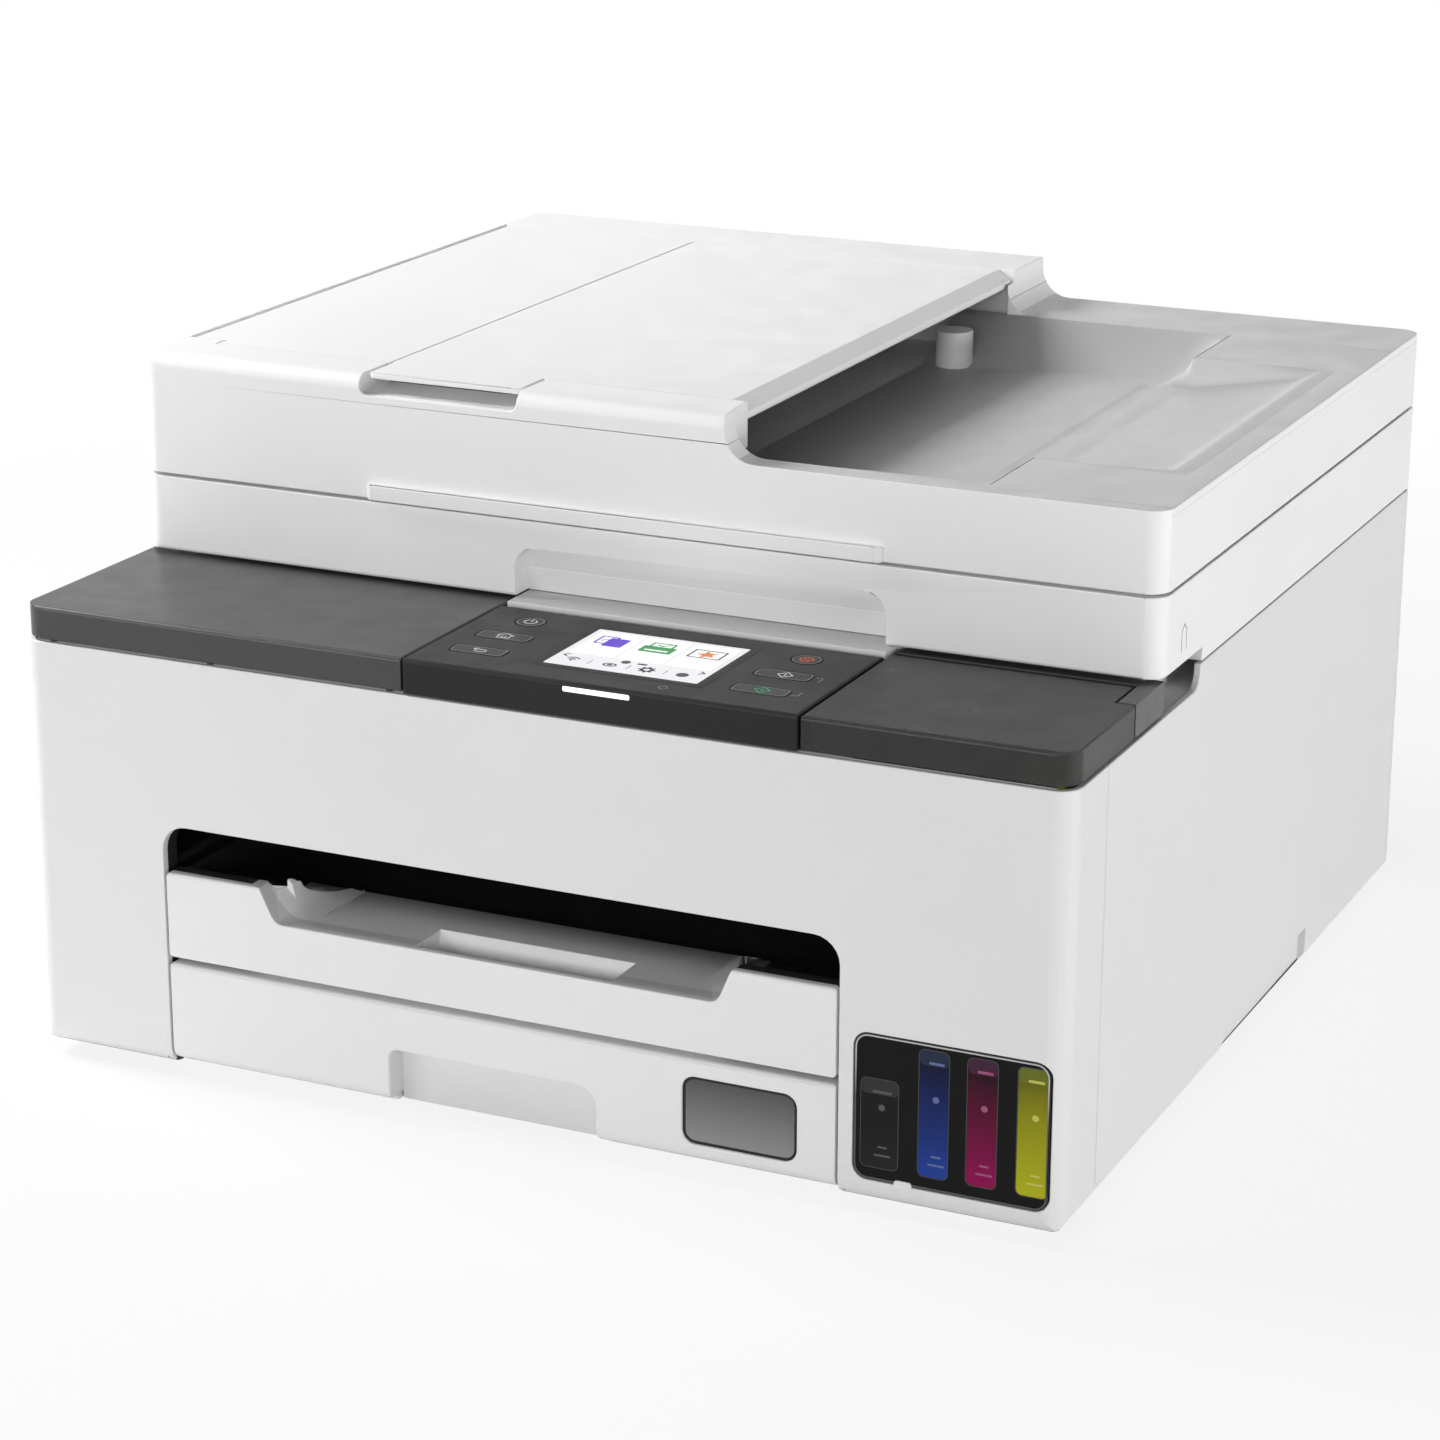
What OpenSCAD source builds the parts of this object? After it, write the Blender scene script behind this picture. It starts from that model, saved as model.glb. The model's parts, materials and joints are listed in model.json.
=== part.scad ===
// Inkjet printer with a flatbed scanner, a document feeder and four refillable ink tanks.
// X runs to the right, Y to the back, Z up. The origin is the middle of the footprint, on the table.

/* [Body] */
// Width of the body, scanner and document cover
body_w = 374; // [370:1:390]
// Depth of the body, front face to back face
body_d = 371; // [371:1:385]
// Height of the white body at the front, feet not counted
body_h = 145; // [144:1:150]
// Height of the side covers where they meet the scanner
side_h = 153; // [152:0.5:154]
// Wall thickness of the outer covers
wall = 2.5; // [2:0.1:3]
// Radius of the upright corners
corner_r = 8; // [6:0.5:9]
// Radius of the edges round the underside
bottom_r = 7; // [5:0.5:7.5]
// Distance from the front face to the seam between the front and side covers
side_seam_y = 30; // [26:1:34]
// Depth of the back cover's return along each side
back_return = 9; // [9:0.5:12]
// Distance from the front face to the rise in the side covers
side_step_y = 117; // [114:1:120]
// Height of the rubber feet
foot_h = 4; // [3:0.5:6]
// Radius of the rubber feet
foot_r = 9; // [6:0.5:12]
// Visible gap between neighbouring covers
seam = 0.8; // [0.6:0.1:1]

/* [Dark band] */
// Height of the smoked covers
band_h = 11; // [10.5:0.1:11.5]
// Depth of the smoked covers, front to back
band_d = 75; // [72:0.5:75.5]
// Thickness of the smoked covers' top and skirts
band_t = 2; // [1.8:0.1:2.2]
// Setback of the smoked covers behind the front face
band_inset = 0.6; // [0.2:0.1:1]
// Width of the operation panel
panel_w = 137.6; // [136:0.2:140]
// Distance of the operation panel's right end from the body's right side
panel_right = 90; // [89:0.2:93]
// Depth of the operation panel
panel_d = 70; // [68:0.5:71]
// Radius of the covers' and the panel's rounded back edges, which their hinge pins share
hinge_edge_r = 4; // [3.8:0.1:4.2]

/* [Operation panel] */
// Width of the screen
screen_w = 55; // [54:0.5:60]
// Distance of the screen from the panel's right end
screen_in = 40.5; // [38:0.5:44]
// Front edge of the screen behind the body's front face
screen_y0 = 15; // [13:0.5:17]
// Back edge of the screen behind the body's front face
screen_y1 = 56.5; // [54:0.5:58]
// Distance of the left column of buttons from the screen
left_button_in = 24; // [23:0.5:26]
// Distance of the right column of buttons from the screen
right_button_in = 20; // [19:0.5:21]
// Distances of the three button rows behind the front face
button_rows = [18.5, 36, 54]; // [12:0.5:60]
// Width of the oblong buttons
button_w = 19; // [16:0.5:20]
// Depth of the oblong buttons
button_l = 7.5; // [6:0.5:9]
// Radius of the round buttons
round_button_r = 5; // [4:0.1:6]
// Travel of a button
button_travel = 0.6; // [0.4:0.1:0.8]

/* [Paper opening] */
// Distance of the paper opening from the body's left side
bay_left = 53; // [51:0.5:55]
// Distance of the paper opening from the body's right side
bay_right = 75; // [74:0.5:77]
// Height of the top of the paper opening above the underside
bay_h = 87; // [84:1:90]
// Radius of its two upper corners
bay_r = 9; // [6:0.5:11]
// Depth of the reveal round the opening
reveal_d = 9; // [6:0.5:10]
// Height of the cassette's front above the underside, lower edge
cassette_h0 = 4; // [3.8:0.1:4.5]
// Height of the cassette's front above the underside, upper edge
cassette_h1 = 38; // [37:0.5:39]
// Distance between the cassette's back wall and the body's back face
cassette_back = 37; // [36:1:45]
// Thickness of the cassette's front
cassette_t = 12; // [10:0.5:13]
// Wall thickness of the cassette
cassette_wall = 2.2; // [2:0.1:2.6]
// Lower and upper edge of the output tray's front above the underside
out_h0 = 40.2; // [40:0.1:41]
// Upper edge of the output tray's front
out_h1 = 70.3; // [68:0.1:72]
// Height of the notch in the output tray's front
out_notch_h = 58.5; // [57:0.5:60]
// Distance between the output tray's back end and the body's back face
out_back = 173; // [172:1:190]
// Distance of the notch in the output tray's front from each end of the tray
out_notch_in = 40; // [36:0.5:44]
// Width of the grip notch under the cassette's front
grip_w = 76.5; // [70:0.5:84]
// Height of the grip notch above the underside
grip_h = 21.5; // [19:0.5:23]
// Width of the cassette's paper window
paper_window_w = 40; // [36:0.5:44]
// Distance of the paper window from the right side of the paper opening
paper_window_in = 14; // [12:0.5:18]
// Lower edge of the cassette's paper window
paper_window_h0 = 8.6; // [8:0.2:12]
// Upper edge of the cassette's paper window
paper_window_h1 = 31.8; // [28:0.2:33]

/* [Ink] */
// Width of the ink window
ink_w = 65.4; // [64:0.2:66]
// Distance of the ink window from the body's right side
ink_side = 4.6; // [4.2:0.2:5]
// Lower edge of the ink window above the underside
ink_h0 = 8; // [8:0.2:10]
// Upper edge of the ink window above the underside
ink_h1 = 57.6; // [55:0.2:60]
// Corner radius of the ink window
ink_r = 5; // [4:0.5:6]
// Distance of the black tank's centre from the ink window's left edge
black_tank_in = 7.6; // [7.4:0.1:7.8]
// Width of the black tank
black_tank_w = 16; // [15:0.1:16.2]
// Distance of the first colour tank's centre from the ink window's left edge
color_tank_in = 25.4; // [25:0.1:25.6]
// Distance between the colour tanks
tank_pitch = 16.1; // [16:0.1:16.2]
// Width of a colour tank
color_tank_w = 14.6; // [13:0.1:15]
// Depth of the tanks
tank_d = 60; // [50:1:60]
// Height of a tank's neck below the top of the body
neck_h = 17; // [15:1:25]

/* [Print engine] */
// Distance of the carriage shaft from the back face
shaft_back = 201; // [199:1:205]
// Height of the carriage shaft above the table
shaft_z = 120; // [118:1:121]
// Radius of the carriage shaft
shaft_r = 4; // [3:0.5:4]
// Width of the print carriage
carriage_w = 52; // [46:1:56]
// Distance of the parked carriage's centre from the body's right side
carriage_park = 47; // [45:1:49]
// Radius of the belt pulleys
pulley_r = 6; // [5:0.5:7]
// Radius of the feed roller
feed_r = 10; // [8:0.5:10]
// Radius of the eject roller
eject_r = 5; // [4:0.5:6]
// Radial clearance of a shaft in its bearing
fit = 0.06; // [0.03:0.01:0.08]
// Thickness of the frame's sheet metal
sheet_t = 2; // [1.6:0.1:2.4]
// Radius of the paper pickup roller
pickup_r = 12; // [10:0.5:12]

/* [Scanner] */
// Distance of the scanner's front face behind the body's
scan_front = 76.5; // [76.5:0.5:80]
// Height of the scanner case from its front overhang to its top
scan_h = 26.6; // [26:0.2:28]
// Drop of the scanner case behind the side covers' rise
scan_skirt = 4.3; // [4:0.1:4.3]
// Distance of the scanner glass from the left side
glass_left = 53; // [51:1:55]
// Distance of the scanner glass from the right side
glass_right = 17; // [15:1:20]
// Distance of the scanner glass from the back face
glass_back = 51; // [48:1:55]
// Distance of the scanner glass's front edge behind the front face
glass_y0 = 100; // [98:1:104]
// Radius of the rounded back edge that the scanner turns about
scan_hinge_r = 5.5; // [5:0.1:6]

/* [Document cover] */
// Height of the document cover's low right part
cover_h = 27; // [26:0.5:28]
// Height of its raised left part
hump_h = 42.4; // [41:0.2:44]
// Distance of the raised part's right end from the right side
hump_right = 150.5; // [148:0.5:152]
// Radius of the hollow curve down from the raised part
hump_r = 11; // [8:0.5:12]
// Radius of the document cover's top edges
cover_r = 5; // [4:0.5:5]
// Distance from the front face to the feeder opening
feed_y0 = 98; // [97:0.5:99]
// Distance from the back face to the back of the feeder opening
feed_back = 31; // [30:0.5:33]
// Distance of the seam between the feeder cover and the document tray from the left side
feeder_w = 89; // [87:0.5:91]
// Distance of the document tray's right end from the raised part's right end
tray_in = 1.5; // [1:0.5:2.5]
// Thickness of the document tray's rims
tray_t = 6; // [5:0.5:7]
// Distance of the paper guides from the sides of the paper opening
guide_side = 17.6; // [16:0.2:19]
// Distance of the sheet guides from the ends of the feeder opening
sheet_in = 15.6; // [15:0.2:16]

/* [Hidden] */
$fn = 48;

white = [0.87, 0.87, 0.87];
inner_white = [0.8, 0.8, 0.8];
smoke = [0.27, 0.27, 0.26];
black = [0.06, 0.06, 0.06];
metal = [0.62, 0.64, 0.66];
rubber = [0.15, 0.15, 0.15];

// Faces in each quarter turn of a moulded edge
arc_n = 6;
big = 500;
slack = 0.3;
left = -body_w / 2;
right = body_w / 2;

// Position measured back from the front face, and height measured up from the underside
function fy(d) = d - body_d / 2;
function uz(h) = h + foot_h;

body_top = uz(body_h);
side_top = uz(side_h);
band_z0 = body_top + 1;
band_z1 = band_z0 + band_h;
deck_t = wall;
deck_z = body_top - deck_t;
inner_right = right - wall;
scan_z0 = band_z1 + 1;
scan_z1 = scan_z0 + scan_h;
skirt_z = scan_z0 - scan_skirt;
cover_z0 = scan_z1 + 1;
rim_z = cover_z0 + cover_h;
hump_z = cover_z0 + hump_h;
back = body_d / 2;
front = -body_d / 2;
edge_pin_r = 1.2;
edge_ear_r = 2.6;
ear_w = 6;
panel_hinge = [fy(panel_d - hinge_edge_r), band_z1 + 0.3 - hinge_edge_r];
ink_hinge = [fy(band_d - hinge_edge_r), band_z1 - hinge_edge_r];
panel_x1 = right - panel_right;
panel_x0 = panel_x1 - panel_w;
screen_x1 = panel_x1 - screen_in;
screen_x0 = screen_x1 - screen_w;
left_button_x = screen_x0 - left_button_in;
right_button_x = screen_x1 + right_button_in;
panel_ears = [panel_x0 + 12, panel_x1 - 12];
ink_cover_x0 = panel_x1 + seam;
ink_ears = [ink_cover_x0 + 8, right - 14];
scan_hinge = [back - scan_hinge_r, skirt_z + scan_hinge_r];
scan_ear_x = right - 37;
cover_hinge = [back - scan_hinge_r, cover_z0 + scan_hinge_r];
post_x = right - 69;
post_w = 18;
post_y0 = cover_hinge[0] - 8;
post_depth = 25;
hinge_pin_r = 2;
post_r = 4.5;
shaft_y = body_d - shaft_back;
out_l = body_d - out_back;
bay_x0 = left + bay_left;
bay_x1 = right - bay_right;
bay_mid = (bay_x0 + bay_x1) / 2;
grip_x0 = bay_mid - grip_w / 2;
grip_x1 = bay_mid + grip_w / 2;
paper_window_x1 = bay_x1 - paper_window_in;
paper_window_x0 = paper_window_x1 - paper_window_w;
cassette_l = body_d - cassette_back;
ink_x1 = right - ink_side;
ink_x0 = ink_x1 - ink_w;
black_tank_x = ink_x0 + black_tank_in;
color_tank_x = ink_x0 + color_tank_in;
tank_h = body_h - neck_h;
carriage_park_x = right - carriage_park;
glass_x0 = left + glass_left;
glass_w = body_w - glass_left - glass_right;
glass_d = body_d - glass_y0 - glass_back;
hump_x = right - hump_right;
feed_y1 = body_d - feed_back;
tray_x0 = left + feeder_w;
tray_x1 = hump_x - tray_in;
out_notch_x0 = bay_x0 + out_notch_in;
out_notch_x1 = bay_x1 - out_notch_in;
cassette_x0 = bay_x0 + seam;
cassette_x1 = bay_x1 - seam;
bay_wall = 2;

function corner(c, r, a0) =
    r == 0 ? [c] : [for (i = [0:arc_n]) c + r * [cos(a0 + 90 * i / arc_n), sin(a0 + 90 * i / arc_n)]];

// Outline with its own radius at the lower left, lower right, upper right and upper left corner
function outline(lo, hi, r) = concat(
    corner([lo[0] + r[0], lo[1] + r[0]], r[0], 180),
    corner([hi[0] - r[1], lo[1] + r[1]], r[1], 270),
    corner([hi[0] - r[2], hi[1] - r[2]], r[2], 0),
    corner([lo[0] + r[3], hi[1] - r[3]], r[3], 90));

// Curve from p to n that bends at q
function bow(p, q, n) =
    [for (i = [0:arc_n]) q + (p - q) * pow(1 - i / arc_n, 2) + (n - q) * pow(i / arc_n, 2)];

module block(lo, hi) translate(lo) cube(hi - lo);

// Prisms of an outline: across X from its Y and Z, along Y from its X and Z, and upright from its X and Y
module prism_x(x0, x1, p) translate([x0, 0, 0]) rotate([90, 0, 90]) linear_extrude(x1 - x0) polygon(p);
module prism_y(y0, y1, p) translate([0, y1, 0]) rotate([90, 0, 0]) linear_extrude(y1 - y0) polygon(p);
module prism_z(z0, z1, p) translate([0, 0, z0]) linear_extrude(z1 - z0) polygon(p);

module rod_x(x0, x1, y, z, r) translate([x0, y, z]) rotate([0, 90, 0]) cylinder(h = x1 - x0, r = r);
module rod_y(y0, y1, x, z, r) translate([x, y0, z]) rotate([-90, 0, 0]) cylinder(h = y1 - y0, r = r);
module rod_z(z0, z1, x, y, r) translate([x, y, z0]) cylinder(h = z1 - z0, r = r);

// Box with rounded edges: radii of its plan, of its outline from the front and of its outline from the side
module moulded(lo, hi, plan, from_front, from_side) intersection() {
    prism_z(lo[2], hi[2], outline([lo[0], lo[1]], [hi[0], hi[1]], plan));
    prism_y(lo[1] - 1, hi[1] + 1, outline([lo[0], lo[2]], [hi[0], hi[2]], from_front));
    prism_x(lo[0] - 1, hi[0] + 1, outline([lo[1], lo[2]], [hi[1], hi[2]], from_side));
}

function all_four(r) = [r, r, r, r];

// The body's outer skin up to a height, open at the top
module body_skin(top) difference() {
    moulded([left, front, foot_h], [right, back, top], all_four(corner_r),
        [bottom_r, bottom_r, 0, 0], [bottom_r, bottom_r, 0, 0]);
    moulded([left + wall, front + wall, foot_h + wall], [right - wall, back - wall, top + 1],
        all_four(corner_r - wall), [bottom_r - wall, bottom_r - wall, 0, 0],
            [bottom_r - wall, bottom_r - wall, 0, 0]);
}

floor_in = 8;
module floor_plate(z0) difference() {
    block([left + floor_in, front + floor_in, z0], [right - floor_in, back - floor_in, foot_h + wall]);
    // notch under the cassette's grip
    if (z0 > 0) block([grip_x0 - 1, front, -1], [grip_x1 + 1, fy(cassette_t + 1), foot_h + wall + 1]);
}

// ---------------------------------------------------------------- covers

module bay_cut(y0, y1, grow)
    prism_y(y0, y1, outline([bay_x0 - grow, -1], [bay_x1 + grow, uz(bay_h) + grow],
        [0, 0, bay_r + grow, bay_r + grow]));

module front_cover() color(white) difference() {
    union() {
        intersection() {
            body_skin(body_top);
            block([left - 1, front - 1, 0], [right + 1, fy(side_seam_y), body_top + 1]);
        }
        intersection() {
            bay_cut(front + 1, fy(reveal_d), bay_wall);
            block([left, front, foot_h + wall], [right, 0, body_top]);
        }
    }
    floor_plate(0);
    bay_cut(front - 1, fy(reveal_d + 1), 0);
    prism_y(front - 1, front + wall + 1, outline([ink_x0, uz(ink_h0)], [ink_x1, uz(ink_h1)],
        all_four(ink_r)));
}

// The side cover on the right, cut down at the front for the smoked covers; the left one mirrors it
step_r = 6;
hand_y1 = body_d - 115;
hand_y0 = hand_y1 - 96;
hand_h = 14.5;
hand_d = 3.2;
seam_gap = 0.3;
module side_cover_blank() difference() {
    union() {
        intersection() {
            body_skin(side_top);
            block([left - 1, fy(side_seam_y) + seam_gap, 0], [0, fy(body_d - back_return) - seam_gap,
                side_top + 1]);
        }
        intersection() {
            block([left + 0.5, fy(hand_y0) - bay_wall, foot_h],
                [left + hand_d + bay_wall, fy(hand_y1) + bay_wall,
                uz(hand_h) + bay_wall]);
            moulded([left, front, foot_h], [right, back, side_top], all_four(corner_r),
                [bottom_r, bottom_r, 0, 0], [bottom_r, bottom_r, 0, 0]);
        }
    }
    floor_plate(0);
    prism_x(left - 1, 0, concat([[front - 1, side_top + 2], [front - 1, body_top]],
        [for (i = [0:arc_n]) [fy(side_step_y) - step_r + step_r * sin(90 * i / arc_n),
            body_top + step_r - step_r * cos(90 * i / arc_n)]],
        [[fy(side_step_y), side_top + 2]]));
    block([left - 1, fy(hand_y0), -1], [left + hand_d, fy(hand_y1), uz(hand_h)]);
}

module left_side_cover() color(white) side_cover_blank();
module right_side_cover() color(white) mirror([1, 0, 0]) side_cover_blank();

inlet_x = left + 37;
inlet_z = 44;
inlet_w = 26;
inlet_h = 20;
transport_x0 = bay_x0 + 22;
transport_x1 = bay_x1 - 20;
transport_z0 = 18;
transport_z1 = 132;
cartridge_x0 = bay_x1 + 6.6;
cartridge_x1 = right - 12;
cartridge_z0 = 12;
cartridge_z1 = 52;
board_x = left + 11;
board_t = 1.6;
board_l = 101;
port_z0 = 70;
port_z1 = 118;
port_x0 = left + 13;
port_x1 = left + 51;
screw_r = 1.5;
screw_head_r = 3.4;
screw_places = [[left + 17, 24], [right - 17, 66], [left + 63, 140], [right - 77, 140], [left + 63, 24],
    [right - 83, 24]];
boss_l = 7;
module rear_cover() color(white) difference() {
    union() {
        intersection() {
            body_skin(side_top);
            block([left - 1, fy(body_d - back_return), 0], [right + 1, back + 1, side_top + 1]);
        }
        for (s = screw_places) rod_y(back - wall - boss_l, back - 1, s[0], s[1], 5);
    }
    floor_plate(0);
    block([transport_x0 - seam, back - 20, transport_z0 - seam],
        [transport_x1 + seam, back + 1, transport_z1 + seam]);
    block([cartridge_x0 - seam, back - 20, cartridge_z0 - seam],
        [cartridge_x1 + seam, back + 1, cartridge_z1 + seam]);
    block([inlet_x - inlet_w / 2, back - 20, inlet_z - inlet_h / 2],
        [inlet_x + inlet_w / 2, back + 1, inlet_z + inlet_h / 2]);
    block([port_x0, back - 5, port_z0], [port_x1, back + 1, port_z1]);
    for (s = screw_places) {
        rod_y(back - wall - boss_l - 1, back + 1, s[0], s[1], screw_r + 0.1);
        rod_y(back - 1.5, back + 1, s[0], s[1], screw_head_r + 0.3);
    }
}

module case_screws() color(metal) for (s = screw_places) difference() {
    union() {
        rod_y(back - 9, back - 1.4, s[0], s[1], screw_r);
        rod_y(back - 1.5, back - 0.1, s[0], s[1], screw_head_r);
    }
    translate([s[0], back, s[1]]) cube([3.6, 1.4, 0.8], center = true);
    translate([s[0], back, s[1]]) cube([0.8, 1.4, 3.6], center = true);
}

// Base of the case: floor, the two walls of the paper bay, and the ledges that carry the output tray
bay_wall_z = uz(58);
ledge_z = uz(out_h0) - slack;
ledge_w = 5;
bay_wall_y0 = reveal_d + 0.5;
bay_wall_y1 = cassette_l + 4;
module bottom_case() color(inner_white) difference() {
    union() {
        floor_plate(foot_h);
        for (x = [bay_x0 - bay_wall, bay_x1])
            block([x, fy(bay_wall_y0), foot_h], [x + bay_wall, fy(bay_wall_y1), bay_wall_z]);
        block([bay_x0 - 1, fy(bay_wall_y0), ledge_z - 1.4], [bay_x0 + ledge_w, fy(out_l + ext_rear_l),
            ledge_z]);
        block([bay_x1 - ledge_w, fy(bay_wall_y0), ledge_z - 1.4],
            [bay_x1 + 1, fy(out_l + ext_rear_l), ledge_z]);
    }
    for (x = [-1, 1], y = [-1, 1]) rod_z(0, foot_h + 1, x * foot_x, y * foot_y, foot_peg_r);
}

foot_x = right - 27;
foot_y = back - 27.5;
foot_peg_r = 3;
module rubber_feet() color(rubber) for (x = [-1, 1], y = [-1, 1]) {
    rod_z(0, foot_h, x * foot_x, y * foot_y, foot_r);
    rod_z(foot_h, foot_h + 0.9, x * foot_x, y * foot_y, foot_peg_r - 0.1);
}

// Deck under the smoked covers and the scanner, with the hinge ears of the cover, the panel and the scanner
deck_gap = 0.2;
access_x0 = left + 37;
access_x1 = right - 20;
access_y0 = shaft_y - 52;
access_y1 = shaft_y + 56;
filler_x0 = ink_x0 - 1.6;
filler_y0 = 3.2;
filler_y1 = 66;
pocket_wall_x = inner_right - 10;
module edge_ear(x, at) difference() {
    union() {
        block([x - ear_w / 2, at[0] - edge_ear_r, body_top - 1], [x + ear_w / 2, at[0] + edge_ear_r, at[1]]);
        rod_x(x - ear_w / 2, x + ear_w / 2, at[0], at[1], edge_ear_r);
    }
    rod_x(x - ear_w, x + ear_w, at[0], at[1], edge_pin_r + fit);
}
module scan_ear(x) difference() {
    union() {
        block([x - 4, scan_hinge[0] - 4, body_top - 1], [x + 4, back - wall - 0.2, scan_hinge[1]]);
        rod_x(x - 4, x + 4, scan_hinge[0], scan_hinge[1], 4);
    }
    rod_x(x - 5, x + 5, scan_hinge[0], scan_hinge[1], hinge_pin_r + fit);
}
module upper_case() color(white) {
    difference() {
        prism_z(deck_z, body_top, outline([left + wall + deck_gap, front + wall + deck_gap],
            [right - wall - deck_gap, back - wall - deck_gap], all_four(corner_r - wall)));
        block([access_x0, fy(access_y0), 0], [access_x1, fy(access_y1), big]);
        block([filler_x0, fy(filler_y0), 0], [big, fy(filler_y1), big]);
    }
    for (x = panel_ears) edge_ear(x, panel_hinge);
    for (x = ink_ears) edge_ear(x, ink_hinge);
    for (x = [-scan_ear_x, scan_ear_x]) scan_ear(x);
    for (x = [-pocket_wall_x - 1, pocket_wall_x - 1])
        block([x, fy(83), body_top - 1], [x + 2, fy(side_step_y + 2), side_top - 0.6]);
    // shelf behind the operation panel, under the recess in the scanner
    block([panel_x0, fy(panel_d + 1.6), body_top - 1], [panel_x1, fy(panel_d + 3.6), band_z1 - 1]);
    block([panel_x0 + 0.4, fy(panel_d + 0.8), band_z1 - 3], [panel_x1 - 0.4, fy(95), scan_z0 - 0.2]);
}

// A smoked cover: a shallow cap, open below
module smoked_cover(x0, x1, r_left, r_right, back_r, y0, y1, z1, gap) {
    difference() {
        moulded([x0, y0, band_z0], [x1, y1, z1], [r_left, r_right, 0, 0], [0, 0, 1, 1],
            [0, back_r / 2, back_r, 1.5]);
        moulded([x0 + band_t, y0 + band_t, band_z0 - 1], [x1 - band_t, y1 - band_t, z1 - band_t],
            [max(r_left - band_t, 0), max(r_right - band_t, 0), 0, 0], all_four(0),
                [0, 0, max(back_r - band_t, 0), 0]);
    }
}

cover_y0 = fy(band_inset);
trim_y0 = 55;
trim_y1 = 82;
module left_top_cover() color(smoke) {
    smoked_cover(left + band_inset, panel_x0 - seam, corner_r, 0, 0, cover_y0, fy(trim_y1), band_z1, 0);
    // ribs that stand on the deck
    for (x = [left + 12, (left + panel_x0) / 2, panel_x0 - 6])
        block([x - 1, cover_y0 + 1, body_top], [x + 1, fy(trim_y1) - 1, band_z1 - 1]);
}

module band_trim() color(smoke) {
    block([right - band_inset - 6, fy(trim_y0), band_z0], [right - band_inset, fy(trim_y1), band_z1]);
    block([right - band_inset - 6, fy(trim_y0), body_top], [right - wall - 1, fy(trim_y1), band_z0 + 2]);
    block([ink_cover_x0, fy(band_d + 1.3), body_top], [right - wall - 1, fy(trim_y1), band_z1 - 0.6]);
}

// ---------------------------------------------------------------- ink tank cover and operation panel

pin_in = 2;
module edge_pocket(x, at) {
    block([x - ear_w / 2 - slack, at[0] - edge_ear_r - 0.5, 0],
        [x + ear_w / 2 + slack, big, at[1] + edge_ear_r + slack]);
}
module edge_pin(x, at) rod_x(x - ear_w / 2 - pin_in, x + ear_w / 2 + pin_in, at[0], at[1], edge_pin_r);

// Cheeks beside each ear that hold the ends of the pin
module edge_cheeks(x, at) for (s = [-1, 1])
    translate([x + s * (ear_w / 2 + slack + pin_in / 2), 0, 0]) intersection() {
        rod_x(-pin_in / 2, pin_in / 2, at[0], at[1], hinge_edge_r - 0.5);
        block([-big, -big, band_z0 - 0.8], [big, big, big]);
    }

module ink_tank_cover() color(smoke) {
    difference() {
        union() {
            smoked_cover(ink_cover_x0, right - band_inset, 0, corner_r, hinge_edge_r, cover_y0,
                fy(band_d), band_z1, 0);
            for (x = ink_ears) edge_cheeks(x, ink_hinge);
        }
        for (x = ink_ears) edge_pocket(x, ink_hinge);
        block([right - band_inset - 6 - seam, fy(trim_y0 - seam), 0], [big, big, big]);
    }
    for (x = ink_ears) edge_pin(x, ink_hinge);
}

panel_z1 = band_z1 + 0.3;
screen_t = 3.2;
button_gap = 0.3;
button_t = 3;
pad_r = 2;

function oblong(x, y, w, l, r) = outline([x - w / 2, y - l / 2], [x + w / 2, y + l / 2], all_four(r));

module round_button_at(x, row, grow, z0, z1) rod_z(z0, z1, x, fy(row), round_button_r + grow);
module oblong_button_at(x, row, grow, z0, z1)
    prism_z(z0, z1, oblong(x, fy(row), button_w + 2 * grow, button_l + 2 * grow, pad_r + grow));

module operation_panel() color(black) {
    difference() {
        union() {
            difference() {
                moulded([panel_x0, front, band_z0 - 0.4], [panel_x1, fy(panel_d), panel_z1],
                    all_four(1), [0, 0, 1, 1], [0, 2, hinge_edge_r, 1.5]);
                moulded([panel_x0 + band_t, front + band_t, 0],
                    [panel_x1 - band_t, fy(panel_d) - band_t, panel_z1 - band_t],
                    all_four(0), all_four(0), [0, 0, hinge_edge_r - band_t, 0]);
            }
            for (x = panel_ears) edge_cheeks(x, panel_hinge);
            // wells that carry the screen and the buttons
            block([screen_x0 - 2, fy(screen_y0 - 2), panel_z1 - screen_t - 1.5],
                [screen_x1 + 2, fy(screen_y1 + 2), panel_z1 - 1]);
            for (x = [left_button_x, right_button_x])
                block([x - button_w / 2 - 3, fy(button_rows[0]) - button_l, panel_z1 - button_t - 2.4],
                    [x + button_w / 2 + 3, fy(button_rows[2]) + button_l, panel_z1 - 1]);
        }
        for (x = panel_ears) edge_pocket(x, panel_hinge);
        block([screen_x0, fy(screen_y0), panel_z1 - screen_t], [screen_x1, fy(screen_y1), big]);
        for (x = [left_button_x, right_button_x]) {
            for (row = [0, 1]) oblong_button_at(x, button_rows[row], button_gap,
                panel_z1 - button_t - button_travel - 0.2, big);
            round_button_at(x, button_rows[2], button_gap, panel_z1 - button_t - button_travel - 0.2, big);
        }
    }
    for (x = panel_ears) edge_pin(x, panel_hinge);
}

module display() color([0.9, 0.92, 0.93])
    block([screen_x0 + 0.1, fy(screen_y0) + 0.1, panel_z1 - screen_t],
        [screen_x1 - 0.1, fy(screen_y1) - 0.1, panel_z1 - 0.1]);

module oblong_button(x, row) color([0.12, 0.12, 0.12])
    oblong_button_at(x, button_rows[row], 0, panel_z1 - button_t, panel_z1);
module round_button(x) color([0.12, 0.12, 0.12])
    round_button_at(x, button_rows[2], 0, panel_z1 - button_t, panel_z1);

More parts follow.
